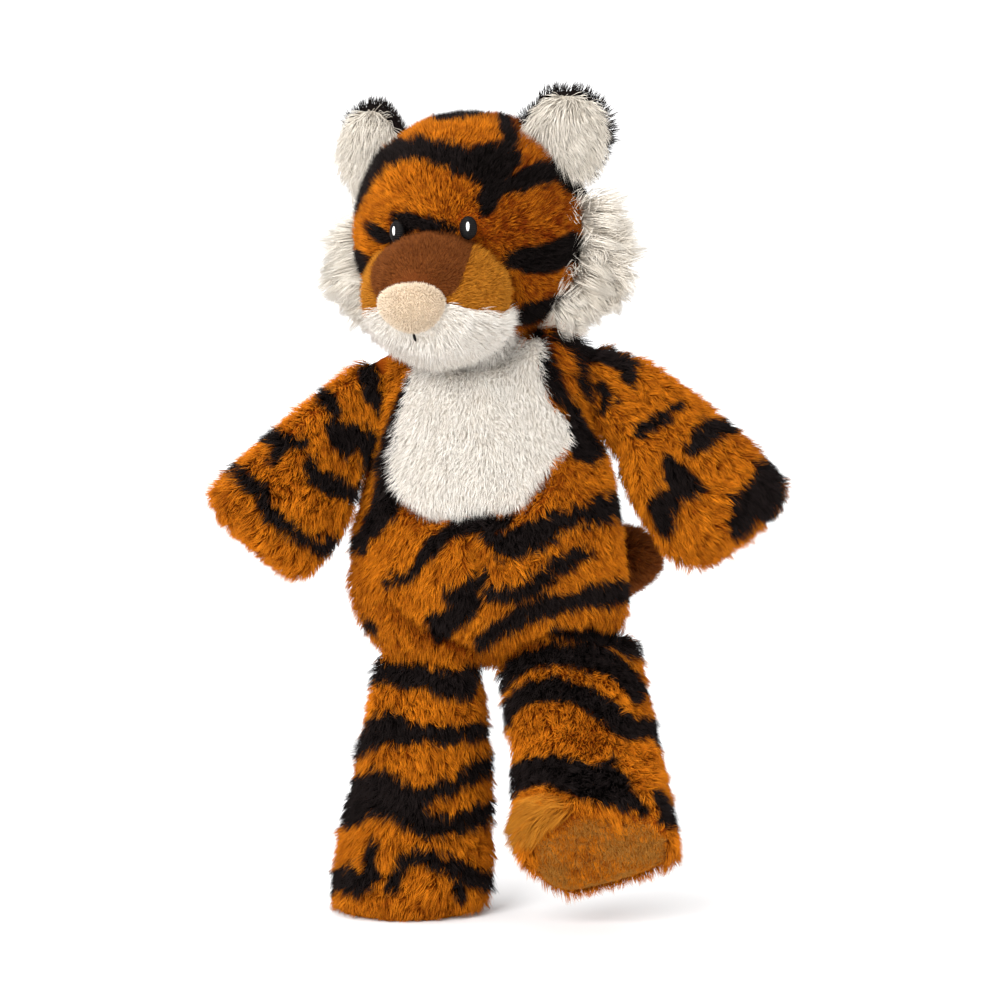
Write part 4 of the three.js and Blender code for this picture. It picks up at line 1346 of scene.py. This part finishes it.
def make_limb(name, joint, reach, seed, stripes=(), trims=(), folds=(), long=None, sole=None):
    """A stuffed limb on a sewn seam."""
    nodes = [f"{name}_skin", f"{name}_stuffing"]
    if sole:
        nodes.append(sole)
    # The tail tone holds painted shade from the hip's shadow
    kind, tone = ("tail", "tail") if name == "tail" else ("limb", "orange")
    root = pivot(joint)
    along = unit(centre_of(f"{name}_skin") - root)
    black = striped(stripes)

    def past_seam(places, normals):
        return (places - root) @ along > -SEAM_TUCK

    skin = soft_form(f"{name}_plush", nodes, "limb", blown=kind == "limb")
    stretch_to_seam(skin, root, along)
    trim(skin, trims)
    set_points(skin, folded(skin, folds))
    bend = [name, "body", root - along * SEAM_TUCK, root + along * reach]
    cover(f"{name}_fur", skin, kind, tone, towards(along + LIMB_SAG), seed, bend, past_seam, black, long)
    if name == "leg_left":
        cover("toe_fur", skin, "toe", "golden", towards(TOE_LAY), 86, bend, on_toes)
    finish_skin(skin, tone, nodes, bend, black)


def make_sole(side):
    node = f"sole_{side}"
    skin = soft_form(f"{node}_pad", [node], "sole")
    if side == "left":
        trim(skin, LEG_LEFT_TRIMS)
    lay = away_from(centre_of(node))
    cover(f"{node}_fuzz", skin, "velour", "tan", lay, 91 + len(side), [f"leg_{side}"])
    finish_skin(skin, "tan", [node], [f"leg_{side}"])


def make_limbs():
    make_limb("arm_left", "arm_left_swing", ARM_BEND, 81, ARM_LEFT_STRIPES, ARM_LEFT_TRIMS)
    make_limb("arm_right", "arm_right_swing", ARM_BEND, 82, ARM_RIGHT_STRIPES, ARM_RIGHT_TRIMS,
              ARM_RIGHT_FOLDS)
    make_limb("leg_left", "leg_left_swing", LEG_BEND, 83, LEG_LEFT_STRIPES, LEG_LEFT_TRIMS,
              long=off_sole("left"), sole="sole_left")
    make_limb("leg_right", "leg_right_swing", LEG_BEND, 84, LEG_RIGHT_STRIPES, LEG_RIGHT_TRIMS,
              long=tufted_foot, sole="sole_right")
    make_limb("tail", "tail_wag", TAIL_BEND, 85)
    for side in SIDE_NAMES:
        make_sole(side)


# Stage
def make_stage():
    front, back = STAGE_DEPTHS
    profile = [(front, 0)]
    for step in range(STAGE_STEPS + 1):
        turn = math.pi / 2 * step / STAGE_STEPS
        rise = STAGE_BEND - STAGE_BEND * math.cos(turn)
        profile.append((back - STAGE_BEND + STAGE_BEND * math.sin(turn), rise))
    profile.append((back, STAGE_HEIGHT))
    places = [(x, y, z) for y, z in profile for x in (-STAGE_HALF_WIDTH, STAGE_HALF_WIDTH)]
    faces = [(2 * k, 2 * k + 1, 2 * k + 3, 2 * k + 2) for k in range(len(profile) - 1)]
    mesh = bpy.data.meshes.new("sweep")
    mesh.from_pydata(places, [], faces)
    mesh.shade_smooth()
    sweep = link("sweep", mesh)
    nodes = Nodes("stage_paper")
    dark, light = ((grey, grey, grey, 1) for grey in STAGE_GREYS)
    mesh.materials.append(nodes.finish(nodes.mix(nodes.noise(3), dark, light), 0.9))


def make_light():
    for name, (place, size, power) in LIGHTS.items():
        data = bpy.data.lights.new(name, "AREA")
        data.size = size
        data.energy = power
        lamp = bpy.data.objects.new(name, data)
        lamp.location = place
        lamp.rotation_euler = (Vector(LIGHT_AIM) - Vector(place)).to_track_quat("-Z", "Y").to_euler()
        scene.collection.objects.link(lamp)
    world = bpy.data.worlds.new("studio")
    world.use_nodes = True
    background = world.node_tree.nodes["Background"]
    background.inputs["Color"].default_value = (1, 1, 1, 1)
    background.inputs["Strength"].default_value = WORLD_STRENGTH
    scene.world = world
    scene.view_settings.view_transform = "Standard"


make_camera()
make_torso()
make_neck()
make_head()
make_nose()
make_mouth()
for each_side in SIDE_NAMES:
    make_eye(each_side)
    make_ruff(each_side)
    make_ear(each_side)
make_limbs()
make_stage()
make_light()
